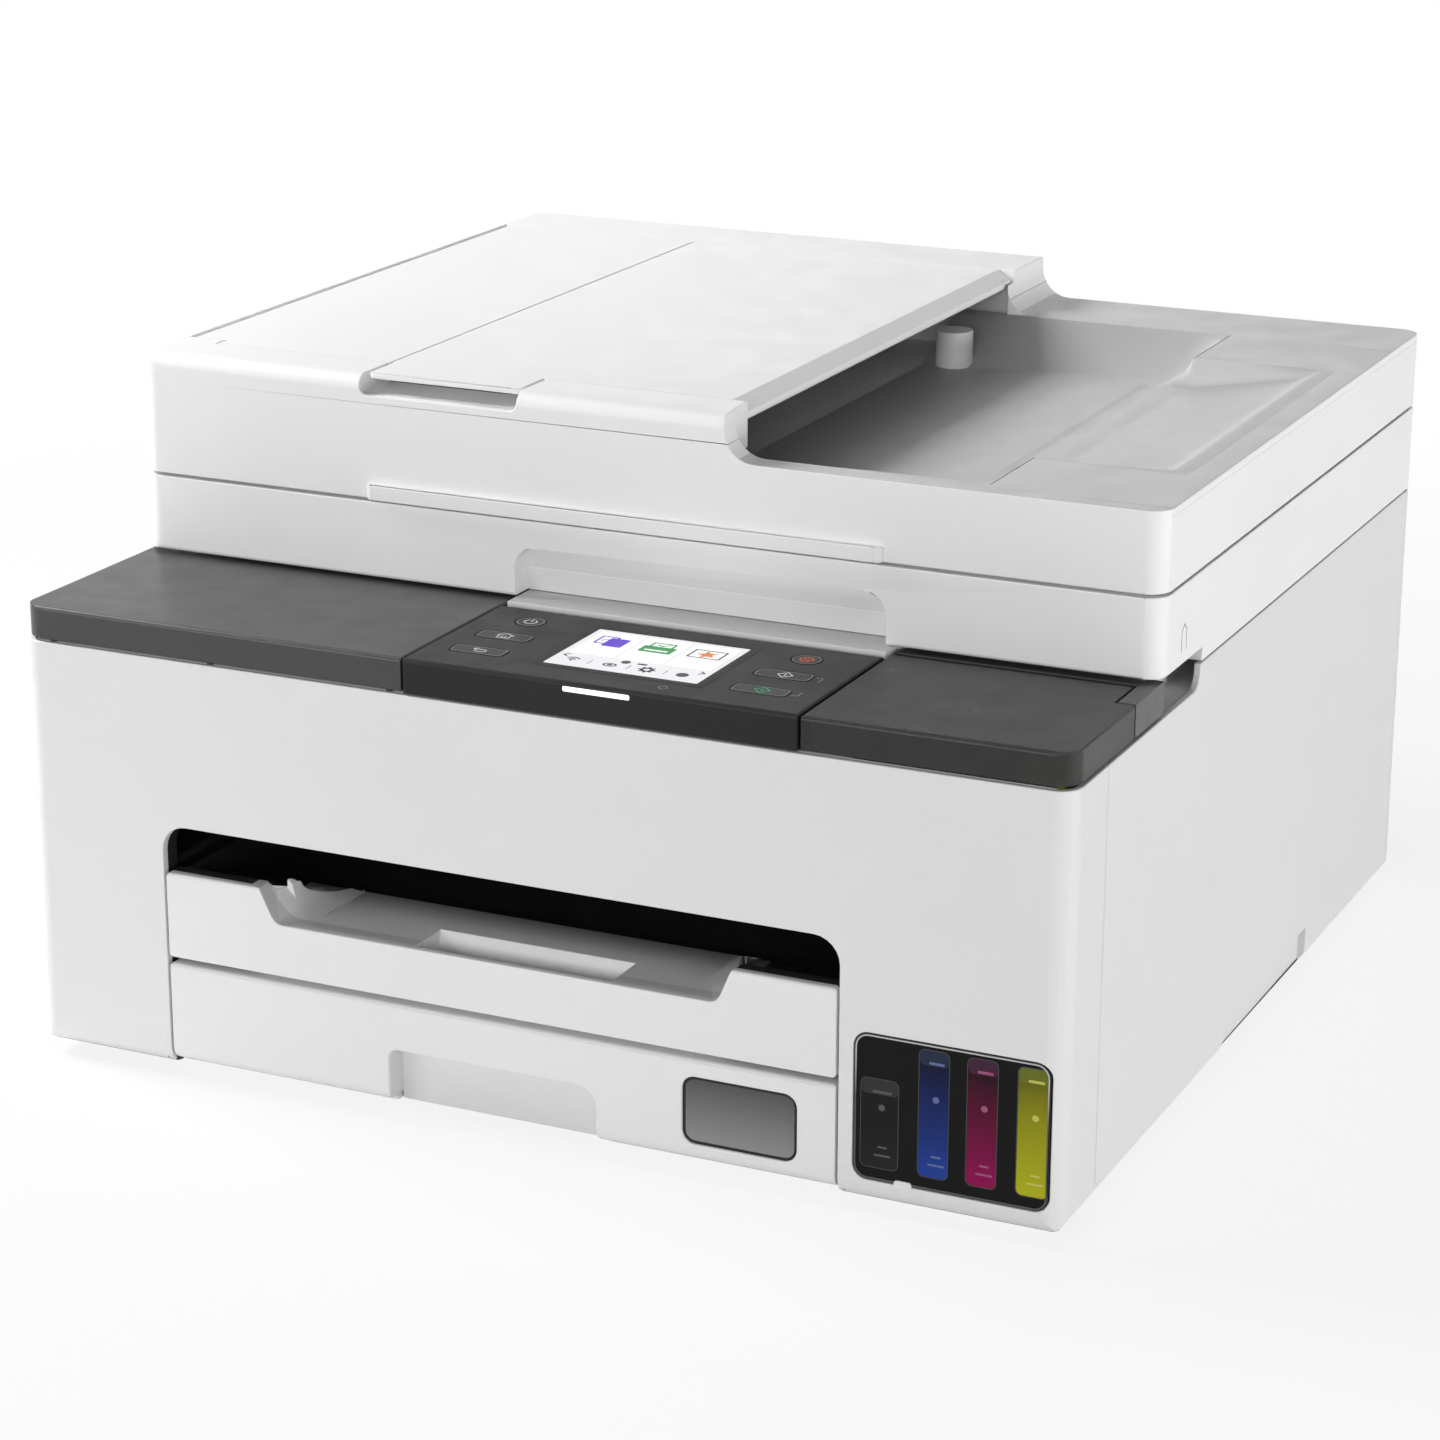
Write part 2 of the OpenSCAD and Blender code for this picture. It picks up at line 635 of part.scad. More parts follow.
module power_button() round_button(left_button_x);
module home_button() oblong_button(left_button_x, 1);
module back_button() oblong_button(left_button_x, 0);
module stop_button() round_button(right_button_x);
module black_start_button() oblong_button(right_button_x, 1);
module color_start_button() oblong_button(right_button_x, 0);

// ---------------------------------------------------------------- cassette

rear_notch = 34;
cassette_z0 = foot_h + wall + slack;
tray_side_h = cassette_h1 - 3;
module cassette_tray() color(inner_white) difference() {
    block([cassette_x0 + 0.5, fy(cassette_t), cassette_z0], [cassette_x1 - 0.5, fy(cassette_l),
        uz(tray_side_h)]);
    block([cassette_x0 + 0.5 + cassette_wall, fy(cassette_t) + cassette_wall, cassette_z0 + 1.8],
        [cassette_x1 - 0.5 - cassette_wall, fy(cassette_l) - cassette_wall, big]);
    // low back edge that passes under the pickup arm
    block([bay_mid - rear_notch, fy(cassette_l) - 5, uz(8)], [bay_mid + rear_notch, fy(cassette_l) + 5, big]);
    // slot for the rear guide's clip
    block([bay_mid - 3, fy(rear_guide_y - 108), 0], [bay_mid + 3, fy(cassette_l - 12), cassette_z0 + 1.2]);
}

module cassette_front() color(white) {
    difference() {
        moulded([cassette_x0, front, uz(cassette_h0 - 1.6)], [cassette_x1, fy(cassette_t), uz(cassette_h1)],
            all_four(0), [0, 0, 1.5, 1.5], [bottom_r - 2, 0, 0, 1.2]);
        block([cassette_x0 - 1, front + cassette_t - 6, 0], [cassette_x1 + 1, fy(cassette_t) + 1,
            cassette_z0 + 0.2]);
        prism_y(front - 1, fy(cassette_t - band_t), outline([grip_x0, -5], [grip_x1, uz(grip_h)],
            [0, 0, 7, 3.5]));
        prism_y(front - 1, fy(cassette_t) + 1, outline([paper_window_x0, uz(paper_window_h0)],
            [paper_window_x1, uz(paper_window_h1)], all_four(4.5)));
    }
    // wall behind the grip, down to the underside
    block([grip_x0 - 0.5, fy(cassette_t - band_t), foot_h], [grip_x1 + 0.5, fy(cassette_t), uz(grip_h - 2)]);
}

module cassette_window() color([0.55, 0.55, 0.55, 0.6])
    prism_y(front + 0.9, front + 3, outline([paper_window_x0 + 0.2, uz(paper_window_h0) + 0.2],
        [paper_window_x1 - 0.2, uz(paper_window_h1) - 0.2], all_four(4.3)));

guide_h = 25;
guide_y0 = 110;
guide_l = 120;
guide_floor = cassette_z0 + 1.8 + 0.2;
module cassette_side_guide(x, s) color(smoke) {
    block([min(x, x + s * 2.4), fy(guide_y0), guide_floor], [max(x, x + s * 2.4), fy(guide_y0 + guide_l),
        guide_floor + guide_h]);
    block([min(x, x + s * 12), fy(guide_y0 + 40), guide_floor],
        [max(x, x + s * 12), fy(guide_y0 + 80), guide_floor + 1.6]);
}
paper_half = (bay_x1 - bay_x0) / 2 - guide_side;
module cassette_guide_left() cassette_side_guide(bay_mid - paper_half, -1);
module cassette_guide_right() cassette_side_guide(bay_mid + paper_half, 1);

rear_guide_y = cassette_l - 16;
module cassette_rear_guide() color(smoke) {
    block([bay_mid - 22, fy(rear_guide_y), guide_floor], [bay_mid + 22, fy(rear_guide_y + 3),
        guide_floor + 9.5]);
    block([bay_mid - 14, fy(rear_guide_y - 24), guide_floor],
        [bay_mid + 14, fy(rear_guide_y), guide_floor + 1.6]);
}

// ---------------------------------------------------------------- output tray

out_floor_h = 52;
out_wall = 2.2;
out_lip = 3;
apron_d = 40;
scoop_x0 = bay_mid - 28.5;
scoop_x1 = bay_mid + 43;
scoop_d = 20;
bank_d = 14;
bank_w = 14;
out_top = uz(out_h1);
notch_floor = uz(out_notch_h);
// Outline of the air over the notch, which widens by w behind the front edge
function notch_air(w) = concat(
    bow([out_notch_x0 - 3 - w / 7, out_top + 0.4], [out_notch_x0, out_top],
        [out_notch_x0 + 0.8, out_top - 3]),
    bow([out_notch_x0 + 1.2, notch_floor + 4.2 + w / 3], [out_notch_x0 + 1.8, notch_floor],
        [out_notch_x0 + 6 + w * 0.6, notch_floor]),
    bow([out_notch_x1 - 5 - w * 0.6, notch_floor], [out_notch_x1 - 1.6, notch_floor],
        [out_notch_x1 - 1, notch_floor + 3 + w / 3]),
    bow([out_notch_x1 - 0.6, out_top - 3], [out_notch_x1, out_top],
        [out_notch_x1 + 3 + w / 7, out_top + 0.4]));
slide_t = 2;
out_x0 = bay_x0 + seam + 0.2;
out_x1 = bay_x1 - seam - 0.2;
module output_tray() color(inner_white) difference() {
    union() {
        moulded([cassette_x0, front, uz(out_h0)], [cassette_x1, fy(8), uz(out_h1)],
            all_four(0), all_four(1.5), [0, 0, 0, 1.2]);
        block([out_x0, fy(7), uz(out_h0)], [out_x1, fy(out_l), uz(out_floor_h)]);
        for (x = [out_x0, out_x1 - out_wall]) block([x, fy(7), uz(out_h0)],
            [x + out_wall, fy(out_l), uz(out_h1 - 2)]);
        // raised apron behind the notch, sloping down to the floor
        prism_x(out_x0 + 1, out_x1 - 1, [[fy(7), uz(out_floor_h) - 1], [fy(7), notch_floor],
            [fy(apron_d), notch_floor], [fy(apron_d + 12), uz(out_floor_h)],
                [fy(apron_d + 12), uz(out_floor_h) - 1]]);
        // banks at the ends of the notch, which run out behind it
        for (e = [[out_notch_x0, 1], [out_notch_x1, -1]]) prism_z(notch_floor - 1, out_top - 1.2,
            [[e[0] - 4 * e[1], fy(7)], [e[0] + bank_w * e[1], fy(7)],
            [e[0] + bank_w * e[1], fy(apron_d)], [e[0] + 9 * e[1], fy(apron_d)]]);
    }
    // hollow under the floor, which slides over the extension
    block([out_x0 + out_wall, fy(8), uz(out_h0) + 1.2], [out_x1 - out_wall, fy(out_l) + 1,
        uz(out_floor_h) - 1.8]);
    // notch in the front edge, opening out between the banks
    hull() {
        prism_y(front - 1, fy(out_lip), notch_air(0));
        prism_y(fy(bank_d), fy(bank_d) + 0.5, notch_air(bank_w));
    }
    prism_y(fy(bank_d), fy(apron_d) + 1, notch_air(bank_w));
    // finger scoop behind the front edge
    prism_x(scoop_x0, scoop_x1, [[fy(out_lip), uz(out_floor_h) - 1], [fy(scoop_d - 2), uz(out_floor_h) - 1],
        [fy(scoop_d), notch_floor + 1], [fy(out_lip), notch_floor + 1]]);
}

// Middle stage: a plate inside the tray's hollow and a wide back end that runs on the case's ledges
ext_rear_l = 34;
ext_half = 95;
module output_extension() color(inner_white) {
    block([bay_mid - ext_half, fy(12), uz(out_h0) + 1.2 + slack],
        [bay_mid + ext_half, fy(out_l + 2), uz(out_h0) + 1.2 + slack + slide_t]);
    block([out_x0, fy(out_l + 1), uz(out_h0)], [out_x1, fy(out_l + ext_rear_l), uz(out_floor_h) - 2]);
}

// ---------------------------------------------------------------- ink

ink_t = 2;
ink_set = 0.5;
tank_y0 = wall + 1.4;
tank_z0 = foot_h + wall + 1.6;
module ink_window() color([0.1, 0.1, 0.1, 0.6]) prism_y(front + ink_set, front + ink_set + ink_t,
    outline([ink_x0 + 0.2, uz(ink_h0) + 0.2], [ink_x1 - 0.2, uz(ink_h1) - 0.2], all_four(ink_r - 0.2)));

neck_r = 5;
tank_t = 1.6;
neck_y = 30;
cap_z = body_top + 0.8;
module ink_tank(x, w) difference() {
    union() {
        moulded([x - w / 2, fy(tank_y0), tank_z0], [x + w / 2, fy(tank_y0 + tank_d), uz(tank_h)],
            all_four(1.5), all_four(1), all_four(1));
        rod_z(uz(tank_h) - 1, cap_z, x, fy(neck_y), neck_r);
    }
    block([x - w / 2 + tank_t, fy(tank_y0) + tank_t, tank_z0 + tank_t],
        [x + w / 2 - tank_t, fy(tank_y0 + tank_d) - tank_t, uz(tank_h) - tank_t]);
    rod_z(uz(tank_h) - 3, cap_z + 1, x, fy(neck_y), neck_r - tank_t);
}
module black_ink_tank() color([0.05, 0.05, 0.06]) ink_tank(black_tank_x, black_tank_w);
module color_ink_tanks() for (i = [0:2])
    color([[0.02, 0.12, 0.5], [0.5, 0.0, 0.25], [0.6, 0.62,
        0.05]][i]) ink_tank(color_tank_x + i * tank_pitch, color_tank_w);

cap_h = 7;
module tank_cap(x, w) difference() {
    moulded([x - w / 2, fy(tank_y0 + 1), cap_z - 3], [x + w / 2, fy(neck_y + 8), cap_z + cap_h],
        all_four(1.5), [0, 0, 1, 1], [0, 0, 1, 1]);
    rod_z(0, cap_z, x, fy(neck_y), neck_r + 0.1);
}
module tank_caps() color(rubber) {
    tank_cap(black_tank_x, color_tank_w - 0.6);
    for (i = [0:2]) tank_cap(color_tank_x + i * tank_pitch, color_tank_w - 0.6);
}

// ---------------------------------------------------------------- frame and print engine

frame_x0 = left + 27;
frame_x1 = right - 15;
frame_y0 = shaft_y - 58;
frame_y1 = shaft_y + 92;
frame_z1 = deck_z - slack;
rail_y = shaft_y + 38;
rail_z0 = 104;
feed_y = shaft_y + 66;
feed_z = 91.5;
eject_y = shaft_y - 48;
eject_z = 96;
roller_x0 = bay_x0 + 6;
roller_x1 = bay_x1 - 6;
roller_shaft_r = 3;
arm_y = cassette_l - 76;
arm_z = 54;
arm_roller_y = cassette_l - 36;
arm_roller_z = 36.6;
lug_x0 = bay_mid - 40;
lug_x1 = bay_mid + 40;
lug_w = 4;
leg_w = 30;
module frame_side(x, legs) difference() {
    union() {
        block([x, fy(frame_y0), uz(60)], [x + sheet_t, fy(frame_y1), frame_z1]);
        for (y = legs) block([x, fy(y), foot_h + wall], [x + sheet_t, fy(y + leg_w), uz(61)]);
    }
    rod_x(x - 1, x + sheet_t + 1, fy(shaft_y), shaft_z, shaft_r + 0.05);
    rod_x(x - 1, x + sheet_t + 1, fy(feed_y), feed_z, roller_shaft_r + fit);
    rod_x(x - 1, x + sheet_t + 1, fy(eject_y), eject_z, roller_shaft_r + fit);
}
pulley_z = 126;
drive_x = frame_x0 + 18;
idler_x = frame_x1 - 12;
pulley_y0 = rail_y - 6.4;
pulley_l = 5.6;
axle_r = 1.5;
module main_frame() color(metal) {
    frame_side(frame_x0, [frame_y0 + leg_w, frame_y1 - 40]);
    frame_side(frame_x1 - sheet_t, [frame_y0 + 6]);
    difference() {
        block([frame_x0 + sheet_t, fy(rail_y), rail_z0], [frame_x1 - sheet_t, fy(rail_y) + sheet_t,
            frame_z1]);
        rod_y(fy(rail_y) - 1, fy(rail_y) + 3, drive_x, pulley_z, axle_r + 0.3);
    }
    block([frame_x0 + sheet_t, fy(rail_y) + sheet_t, frame_z1 - sheet_t],
        [frame_x1 - sheet_t, fy(rail_y + 12), frame_z1]);
    rod_y(fy(pulley_y0) - 1, fy(rail_y), idler_x, pulley_z, axle_r);
    // cross member that carries the pickup arm
    block([frame_x0 + sheet_t, fy(arm_y - 6), arm_z + 10], [frame_x1 - sheet_t, fy(arm_y + 6), arm_z + 12]);
    for (x = [lug_x0 - lug_w, lug_x1]) difference() {
        block([x, fy(arm_y - 6), arm_z - 5], [x + lug_w, fy(arm_y + 6), arm_z + 10]);
        rod_x(x - 1, x + lug_w + 1, fy(arm_y), arm_z, roller_shaft_r + fit);
    }
}

module carriage_shaft() color(metal) rod_x(frame_x0 - 2, frame_x1 + 2, fy(shaft_y), shaft_z, shaft_r);

platen_z = 101;
module platen() color(black) {
    block([roller_x0, fy(eject_y + 12), platen_z - 6], [roller_x1, fy(feed_y - 14), platen_z - 2]);
    for (i = [0:11]) {
        x = roller_x0 + 8 + i * (roller_x1 - roller_x0 - 18) / 11;
        block([x, fy(eject_y + 16), platen_z - 3], [x + 2, fy(feed_y - 18), platen_z]);
    }
    // feet into the frame's side plates
    block([frame_x0 + sheet_t, fy(shaft_y - 20), platen_z - 6], [roller_x0, fy(shaft_y + 20), platen_z - 3]);
}

carriage_y0 = shaft_y - 28;
carriage_y1 = shaft_y + 30;
carriage_z0 = 112;
carriage_z1 = deck_z - 1.5;
module print_carriage() color(black) difference() {
    block([carriage_park_x - carriage_w / 2, fy(carriage_y0), carriage_z0],
        [carriage_park_x + carriage_w / 2, fy(carriage_y1), carriage_z1]);
    // open top that holds the damper tanks
    block([carriage_park_x - carriage_w / 2 + 3, fy(carriage_y0) + 3, shaft_z + 8],
        [carriage_park_x + carriage_w / 2 - 3, fy(carriage_y1) - 3, big]);
    rod_x(carriage_park_x - carriage_w, carriage_park_x + carriage_w, fy(shaft_y), shaft_z, shaft_r + fit);
}
module print_head() color([0.2, 0.2, 0.22])
    block([carriage_park_x - 18, fy(shaft_y - 20), platen_z + 1.6],
        [carriage_park_x + 18, fy(shaft_y + 22), carriage_z0]);

module pulley(x, r_bore) color(metal) difference() {
    union() {
        rod_y(fy(pulley_y0), fy(pulley_y0 + pulley_l), x, pulley_z, pulley_r);
        rod_y(fy(pulley_y0), fy(pulley_y0) + 1, x, pulley_z, pulley_r + 1.2);
        rod_y(fy(pulley_y0 + pulley_l) - 1, fy(pulley_y0 + pulley_l), x, pulley_z, pulley_r + 1.2);
    }
    rod_y(fy(pulley_y0) - 1, fy(pulley_y0 + pulley_l) + 1, x, pulley_z, r_bore);
}
module drive_pulley() pulley(drive_x, axle_r + fit);
module idler_pulley() pulley(idler_x, axle_r + fit);

motor_r = 13;
module motors() color([0.3, 0.31, 0.33]) {
    // carriage motor behind the rail
    rod_y(fy(rail_y) + sheet_t, fy(rail_y) + sheet_t + 24, drive_x, pulley_z, motor_r);
    rod_y(fy(pulley_y0) - 1, fy(rail_y) + sheet_t + 1, drive_x, pulley_z, axle_r);
    // feed motor and its gearbox outside the left plate
    block([frame_x0 - 5.4, fy(feed_y) - 14, feed_z - 30], [frame_x0 - 0.4, fy(feed_y) + 14, feed_z + 12]);
    rod_x(frame_x0 - 22, frame_x0 - 5, fy(feed_y), feed_z - 16, 11);
}

module roller(y, z, r) color(rubber) {
    rod_x(frame_x0 + 0.2, frame_x1 - 0.2, fy(y), z, roller_shaft_r);
    rod_x(roller_x0, roller_x1, fy(y), z, r);
}
module feed_roller() {
    roller(feed_y, feed_z, feed_r);
    color(metal) rod_x(frame_x0 + 8, frame_x0 + 12, fy(feed_y), feed_z, 20);
}
module eject_roller() roller(eject_y, eject_z, eject_r);

arm_w = 4;
module pickup_arm() color(smoke) difference() {
    union() {
        rod_x(lug_x0 - lug_w - 1, lug_x1 + lug_w + 1, fy(arm_y), arm_z, roller_shaft_r);
        for (x = [bay_mid - 22, bay_mid + 22 - arm_w]) {
            prism_x(x, x + arm_w, [[fy(arm_y - 5), arm_z - 4], [fy(arm_roller_y - 5), arm_roller_z - 6],
                [fy(arm_roller_y + 6), arm_roller_z - 6], [fy(arm_roller_y + 6), arm_roller_z + 6],
                [fy(arm_y + 4), arm_z + 6], [fy(arm_y - 5), arm_z + 6]]);
        }
        rod_x(bay_mid - 19, bay_mid + 19, fy(arm_roller_y), arm_roller_z, 2.5);
    }
}
module pickup_roller() color(rubber) difference() {
    rod_x(bay_mid - 17, bay_mid + 17, fy(arm_roller_y), arm_roller_z, pickup_r);
    rod_x(bay_mid - 18, bay_mid + 18, fy(arm_roller_y), arm_roller_z, 2.5 + fit);
}

module maintenance_station() color(black) {
    block([carriage_park_x - 24, fy(shaft_y - 24), uz(60)], [carriage_park_x + 24, fy(shaft_y + 28),
        platen_z - 6]);
    block([carriage_park_x - 17, fy(shaft_y - 18), platen_z - 7],
        [carriage_park_x + 17, fy(shaft_y + 20), platen_z + 0.8]);
    block([carriage_park_x + 20, fy(shaft_y - 20), platen_z - 20],
        [frame_x1 - sheet_t, fy(shaft_y + 20), platen_z - 14]);
}

module transport_cover() color(inner_white) {
    moulded([transport_x0, back - 3, transport_z0], [transport_x1, back - 0.1, transport_z1],
        all_four(0), all_four(2), all_four(0));
    // curved guide that turns the paper
    difference() {
        block([transport_x0 + 6, back - 24, transport_z0 + 4],
            [transport_x1 - 6, back - 2, transport_z1 - 6]);
        rod_x(transport_x0, transport_x1, back - 46, (transport_z0 + transport_z1) / 2, 34);
        for (i = [1:6]) {
            x = transport_x0 + i * (transport_x1 - transport_x0) / 7;
            block([x - 6, back - 26, transport_z0], [x + 6, back - 5, transport_z1]);
        }
    }
}

cartridge_l = 109;
module maintenance_cartridge() color(black) {
    block([cartridge_x0 + 2, fy(body_d - cartridge_l), cartridge_z0 + 2],
        [cartridge_x1 - 2, back - 2, cartridge_z1 - 2]);
    block([cartridge_x0, back - 3, cartridge_z0], [cartridge_x1, back - 0.1, cartridge_z1]);
}

module power_supply() color(black)
    moulded([left + wall + 3, fy(10), foot_h + wall], [bay_x0 - bay_wall - 2, fy(108), uz(70)],
        all_four(2), all_four(2), all_four(2));

module power_inlet() color(black) difference() {
    union() {
        block([inlet_x - inlet_w / 2 + 0.2, back - 22, inlet_z - inlet_h / 2 + 0.2],
            [inlet_x + inlet_w / 2 - 0.2, back - 0.2, inlet_z + inlet_h / 2 - 0.2]);
        block([inlet_x - inlet_w / 2 + 4, back - 60, foot_h + wall],
            [inlet_x - inlet_w / 2 + 20, back - 20, inlet_z]);
    }
    // two-pin socket
    for (s = [-1, 1]) rod_y(back - 14, back + 1, inlet_x + s * 4.3, inlet_z, 4);
    block([inlet_x - 4.3, back - 14, inlet_z - 4], [inlet_x + 4.3, back + 1, inlet_z + 4]);
}

socket_d = 12;
module main_board() {
    color([0.05, 0.3, 0.12]) block([board_x - board_t, fy(body_d - board_l), foot_h + wall],
        [board_x, back - 9, uz(130)]);
    color(metal) block([board_x, back - 20, port_z0 + 1], [port_x0 + 1, back - wall - 1, port_z1 - 1]);
    color(metal) difference() {
        block([port_x0 + 0.6, back - 20, port_z0 + 1], [port_x1 - 0.6, back - 1, port_z1 - 1]);
        // each socket: distance from the plate's left edge and lower edge, width and height
        for (q = [[6, 6, 12, 11], [4, 24, 16, 14], [24, 6, 10, 9], [24, 26, 10, 9]])
            block([port_x0 + q[0], back - socket_d, port_z0 + q[1]],
                [port_x0 + q[0] + q[2], back, port_z0 + q[1] + q[3]]);
    }
}

// ---------------------------------------------------------------- scanner

module scanner_blank() difference() {
    union() {
        moulded([left, fy(scan_front), scan_z0], [right, back, scan_z1],
            all_four(corner_r), [1, 1, 0.6, 0.6], [1.5, 0, 0.6, 0.6]);
        moulded([left, fy(side_step_y + seam), skirt_z], [right, back, scan_z0 + 4],
            [0, 0, corner_r, corner_r], all_four(0), [0, scan_hinge_r, 0, 0]);
    }
}

scan_floor = skirt_z + 2.2;
scan_top_t = 2.4;
recess_h = 17.5;
recess_d = 10;
recess_step_h = 8.7;
recess_step_d = 5.5;
recess_r = 8;
well_z = scan_z1 - post_depth;
module scanner_case() color(white) {
    difference() {
        scanner_blank();
        // hollow inside
        block([left + wall, fy(scan_front + 14), scan_z0 + 2.2],
            [right - wall, back - wall - 4, scan_z1 - scan_top_t]);
        block([left + wall, fy(side_step_y + 4), scan_floor],
            [right - wall, back - wall - 4, scan_z1 - scan_top_t]);
        // glass opening
        block([glass_x0 + 4, fy(glass_y0 + 4), scan_z1 - 5], [glass_x0 + glass_w - 4,
            fy(glass_y0 + glass_d - 4), big]);
        block([glass_x0, fy(glass_y0), scan_z1 - 1.8], [glass_x0 + glass_w, fy(glass_y0 + glass_d), big]);
        // strip glass for the document feeder
        block([strip_x0 + 2, fy(glass_y0 + 2), scan_z1 - 5], [strip_x0 + strip_w - 2,
            fy(glass_y0 + glass_d - 2), big]);
        block([strip_x0, fy(glass_y0), scan_z1 - 1.8], [strip_x0 + strip_w, fy(glass_y0 + glass_d), big]);
        // recess in the front face above the operation panel
        intersection() {
            prism_x(panel_x0, panel_x1, [[fy(scan_front) - 1, scan_z0 - 1],
                [fy(scan_front) - 1, scan_z0 + recess_h + 1.5],
                [fy(scan_front), scan_z0 + recess_h],
                [fy(scan_front + recess_step_d), scan_z0 + recess_step_h],
                [fy(scan_front + recess_d), scan_z0 - 1]]);
            prism_y(fy(scan_front) - 1, fy(scan_front + recess_d), outline([panel_x0 + 0.4, scan_z0 - 2],
                [panel_x1 - 3, scan_z0 + recess_h], [0, 0, recess_r, recess_r]));
        }
        // pockets round the hinge ears
        for (x = [-scan_ear_x, scan_ear_x])
            block([x - 4.4, scan_hinge[0] - 4.6, 0], [x + 4.4, back + 1, scan_hinge[1] + 4.6]);
        // wells for the document cover's hinge posts
        for (x = [-post_x, post_x])
            block([x - post_w / 2 - slack, post_y0 - slack, well_z],
                [x + post_w / 2 + slack, post_y0 + 8 + slack, big]);
    }
    for (x = [-scan_ear_x, scan_ear_x]) rod_x(x - 6, x + 6, scan_hinge[0], scan_hinge[1], hinge_pin_r);
    // rail that the scan head rides on
    block([left + 12, fy(glass_y0 + glass_d / 2 - 2), scan_floor - 0.5],
        [right - 12, fy(glass_y0 + glass_d / 2 + 2), scan_floor + 4]);
}

strip_x0 = left + 19;
strip_w = 26;
module scanner_glass() color([0.75, 0.85, 0.85, 0.4]) {
    block([glass_x0 + 0.1, fy(glass_y0) + 0.1, scan_z1 - 1.8],
        [glass_x0 + glass_w - 0.1, fy(glass_y0 + glass_d) - 0.1, scan_z1 - 0.1]);
    block([strip_x0 + 0.1, fy(glass_y0) + 0.1, scan_z1 - 1.8],
        [strip_x0 + strip_w - 0.1, fy(glass_y0 + glass_d) - 0.1, scan_z1 - 0.1]);
}

head_w = 18;
module scan_carriage() color(black)
    block([strip_x0 + 4, fy(glass_y0 + 3), scan_floor + 4.4],
        [strip_x0 + 4 + head_w, fy(glass_y0 + glass_d - 3), scan_z1 - 5.4]);

module hinge_posts() color(metal) for (x = [-post_x, post_x]) difference() {
    union() {
        block([x - post_w / 2, post_y0, well_z + slack], [x + post_w / 2, post_y0 + 8, cover_hinge[1]]);
        rod_x(x - post_w / 2, x + post_w / 2, cover_hinge[0], cover_hinge[1], post_r);
    }
    rod_x(x - post_w, x + post_w, cover_hinge[0], cover_hinge[1], hinge_pin_r + fit);
}

// ---------------------------------------------------------------- document cover and feeder

pocket_x1 = right - 62;
shelf_x1 = right - 11;
bank_y0 = feed_y1 - 44;
floor_z_left = cover_z0 + 9.5;
floor_z_mid = cover_z0 + 14;
pocket_fall = (floor_z_mid - floor_z_left) / (pocket_x1 - hump_x);
tray_axis = [tray_x1 - 6.5, hump_z - 4.5];
tray_pin_r = 2.2;
feeder_axis = [left + 8, hump_z - 3];
feeder_t = 3;
feeder_pin_r = 1.5;
lid_jog = 6;
lid_jog_x = left + 19;
pin_l2 = 3;
notch_x0 = tray_x0 + 0.4;
notch_x1 = tray_x0 + 59;
notch_z = hump_z - 6.5;
tab_t = 2;
module hump_profile_cut() prism_y(-big, big, concat(
    [[right + 1, rim_z]], [[right + 1, hump_z + 1]], [[hump_x, hump_z + 1]],
    [for (i = [0:arc_n]) [hump_x + hump_r - hump_r * cos(90 * i / arc_n),
        rim_z + hump_r - hump_r * sin(90 * i / arc_n)]]));

